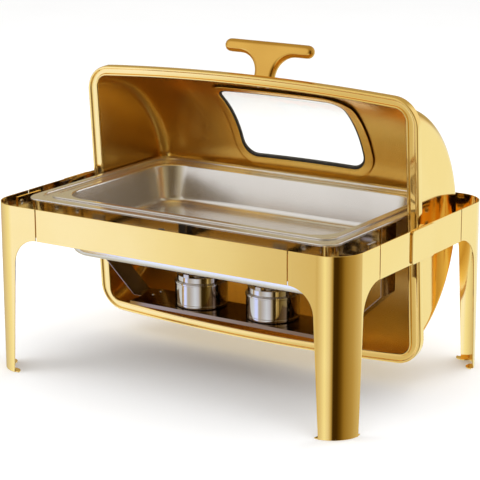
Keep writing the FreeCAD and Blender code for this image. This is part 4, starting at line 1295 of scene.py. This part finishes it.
    def fasteners(self, shop: Workshop) -> None:
        """Handle screws, seen from inside, and the hinge rivets.

        Args:
            shop: Finishes and CAD solids to work from.
        """
        outward_way = self.place.to_3x3() @ Vector((0, -math.cos(math.radians(self.handle_angle)),
                                                    math.sin(math.radians(self.handle_angle))))
        places = []
        for low, high in shop.islands("handle_screws"):
            across = (low.x + high.x) / 2
            distance = (self.radius_at(0) - self.sheet) * MM
            seat = self.place.translation + outward_way * distance
            places.append((Vector((across, seat.y, seat.z)), -outward_way))
        sizes = {"Head height": 0.0022, "Shank length": 0.010}
        Fasteners("handle_screws", screw_tree(), places, sizes).build(shop)
        rivets = [((low + high) / 2, Vector((1, 0, 0))) for low, high in shop.islands("hinge_rivets")]
        Fasteners("hinge_rivets", rivet_tree(), rivets, {"Grip": self.hinge_grip}).build(shop)


# ---- Studio ----
@dataclass
class Studio:
    """Pale floor, soft lights, surroundings for the metal to reflect, and the camera."""

    azimuth: float = 33.27
    elevation: float = 14.65
    roll: float = -0.18
    distance: float = 3.0799
    lens: float = 143.4
    target: tuple[float, float, float] = (0.0, 0.0, 0.2107)
    daylight: float = 1.04
    daylight_tint: tuple[float, float] = (1.18, 1.9)
    coolness: tuple[float, float] = (1.25, 1.0)
    horizon: tuple[float, float] = (-0.16, 0.06)
    cornice: tuple[float, float] = (0.45, 0.85)
    ceiling: float = 0.55
    floor_half: float = 12.0
    low_walls: tuple[Point2, ...] = (
        (-180, 0.95), (-120, 0.60), (-60, 1.00), (-47, 1.06), (-37.5, 1.05), (-34.5, 0.92), (-32, 0.72),
        (-24, 0.66), (-9, 0.80), (5, 1.00), (19, 0.84), (29, 0.50), (34, 0.05), (48, 0.05), (60, 0.13),
        (74, 0.32), (105, 0.50), (144, 0.72), (149, 0.98),
    )
    high_walls: tuple[Point2, ...] = (
        (-180, 0.50), (-120, 0.45), (-75, 0.60), (-45, 0.95), (-20, 0.95), (0, 0.55), (25, 0.12), (50, 0.10),
        (75, 0.45), (100, 0.70), (125, 0.45), (140, 0.95), (158, 0.95), (175, 0.50),
    )

    def build(self) -> None:
        """Make the whole studio."""
        self.camera()
        self.floor()
        self.surroundings()
        self.lights()

    def camera(self) -> None:
        """Camera on a circle round the target."""
        across, up = math.radians(self.azimuth), math.radians(self.elevation)
        back = Vector((math.sin(across) * math.cos(up), -math.cos(across) * math.cos(up), math.sin(up)))
        lens = bpy.data.cameras.new("camera")
        lens.lens, lens.sensor_width = self.lens, 36.0
        lens.clip_start, lens.clip_end = 0.05, 50.0
        camera = bpy.data.objects.new("camera", lens)
        camera.location = Vector(self.target) + back * self.distance
        turn = (-back).to_track_quat("-Z", "Y").to_matrix() @ Matrix.Rotation(math.radians(self.roll), 3, "Z")
        camera.rotation_euler = turn.to_euler()
        bpy.context.scene.collection.objects.link(camera)
        bpy.context.scene.camera = camera

    def floor(self) -> None:
        """Large pale floor, left out of the metal's reflections, which show the studio's walls."""
        half = self.floor_half
        corners = [(-half, -half, 0), (half, -half, 0), (half, half, 0), (-half, half, 0)]
        material = bpy.data.materials.new("floor_paint")
        material.use_nodes = True
        recipe = Recipe(material.node_tree)
        tone = recipe.blend(recipe.noise(3.0, 2.0), (0.93, 0.93, 0.93), (0.96, 0.96, 0.96))
        paint = recipe.node("ShaderNodeBsdfPrincipled", inputs={"Base Color": tone, "Roughness": 0.9})
        recipe.node("ShaderNodeOutputMaterial", inputs={"Surface": paint})
        piece = new_piece("floor", corners, [(0, 1, 2, 3)], [material])
        piece.visible_glossy = False

    def tint(self, level: float, cool: float = 1.0) -> tuple[float, float, float, float]:
        """Colour of a studio wall at a brightness: amber in the shade, up to cool daylight where it is bright.

        Args:
            level: The wall's brightness.
            cool: How blue a bright wall is.

        Returns:
            The colour.
        """
        green = min(0.5 + 0.5 * cool, 0.50 + 0.65 * level)
        blue = min(cool, 0.05 + 1.6 * level * level)
        if level > self.daylight:
            green, blue = self.daylight_tint
        return (level, level * green, level * blue, 1.0)

    def walls(self, recipe: Recipe, share: Value, levels: Sequence[Point2], cool: float) -> Value:
        """Colour of the studio's walls all round the object.

        Args:
            recipe: The tree to add to.
            share: Angle round the object, from 0 to 1.
            levels: Angles in degrees from the front towards the right, and the brightness there.
            cool: How blue the bright walls are.

        Returns:
            The colour.
        """
        ramp = recipe.node("ShaderNodeValToRGB", inputs={"Fac": share})
        stops = ramp.socket.node.color_ramp.elements
        for index, (degrees, level) in enumerate(levels):
            stop = stops[index] if index < 2 else stops.new(1.0)
            stop.position = degrees / 360 + 0.5
            stop.color = self.tint(level, cool)
        return ramp

    def surroundings(self) -> None:
        """White to the eye; walls, dark flags and a ceiling in the reflections."""
        world = bpy.data.worlds.new("studio")
        bpy.context.scene.world = world
        world.use_nodes = True
        recipe = Recipe(world.node_tree)
        way = recipe.node("ShaderNodeTexCoord", output="Generated")
        outputs = recipe.node("ShaderNodeSeparateXYZ", inputs={"Vector": way}).socket.node.outputs
        x, y, z = (Value(recipe, output) for output in outputs)
        angle = recipe.node("ShaderNodeMath", {"operation": "ARCTAN2"}, {0: x, 1: 0.0 - y})
        share = angle / (2 * math.pi) + 0.5
        low, high = (self.walls(recipe, share, levels, cool)
                     for levels, cool in zip((self.low_walls, self.high_walls), self.coolness))
        around = recipe.blend(z.step(*self.horizon), low, high)
        tone = recipe.blend(z.step(*self.cornice), around, self.tint(self.ceiling)[:3])
        studio = recipe.node("ShaderNodeBackground", inputs={"Color": tone, "Strength": 1.0})
        plain = recipe.node("ShaderNodeBackground", inputs={"Color": WHITE, "Strength": 1.0})
        mirrored = recipe.node("ShaderNodeLightPath", output="Is Glossy Ray")
        both = recipe.node("ShaderNodeMixShader", inputs={0: mirrored, 1: plain, 2: studio})
        recipe.node("ShaderNodeOutputWorld", inputs={"Surface": both})
        bpy.context.scene.view_settings.view_transform = "Standard"

    def lights(self) -> None:
        """Large soft lights, which the metal doesn't mirror."""
        for name, place, size, power in (
            ("key_light", (-2.2, -2.0, 2.4), 2.0, 30.0),
            ("fill_light", (2.6, -1.2, 1.6), 1.6, 10.0),
            ("top_light", (0.2, 0.4, 3.0), 2.4, 25.0),
            ("back_light", (1.0, 2.6, 1.8), 1.6, 12.0),
        ):
            light = bpy.data.lights.new(name, "AREA")
            light.size, light.energy = size, power
            lamp = bpy.data.objects.new(name, light)
            lamp.location = place
            lamp.rotation_euler = (Vector((0, 0, 0.25)) - Vector(place)).to_track_quat("-Z", "Y").to_euler()
            lamp.visible_glossy = False
            bpy.context.scene.collection.objects.link(lamp)


PANS = (
    Pan("food_pan", wall_inset_top=15.0, wall_inset_depth=15.0, wall_inset_floor=27.0, corner=22.8,
        corner_body=48.0, floor_radius=16.0, edge_height=1.2, edge_width=4.0, shoulder=4.0, crown=1.2),
    Pan("water_pan", wall_inset_top=28.0, wall_inset_depth=37.0, wall_inset_floor=36.0, corner=24.0,
        corner_body=54.0, floor_radius=28.0, edge_height=2.8, edge_width=10.0, shoulder=1.0, crown=0.6),
)


def main() -> None:
    """Build the studio and the chafer's sub-assemblies in order."""
    logging.basicConfig(level=logging.INFO, format="%(name)s %(message)s")
    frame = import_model()
    Studio().build()
    shop = Workshop(frame)
    Stand().build(shop)
    Carrier().build(shop)
    FuelShelf().build(shop)
    for pan in PANS:
        pan.build(shop)
    for side in ("right", "left"):
        FuelHolder(side).build(shop)
    Lid().build(shop)
    shop.dress_rest()


if __name__ == "__main__":
    main()
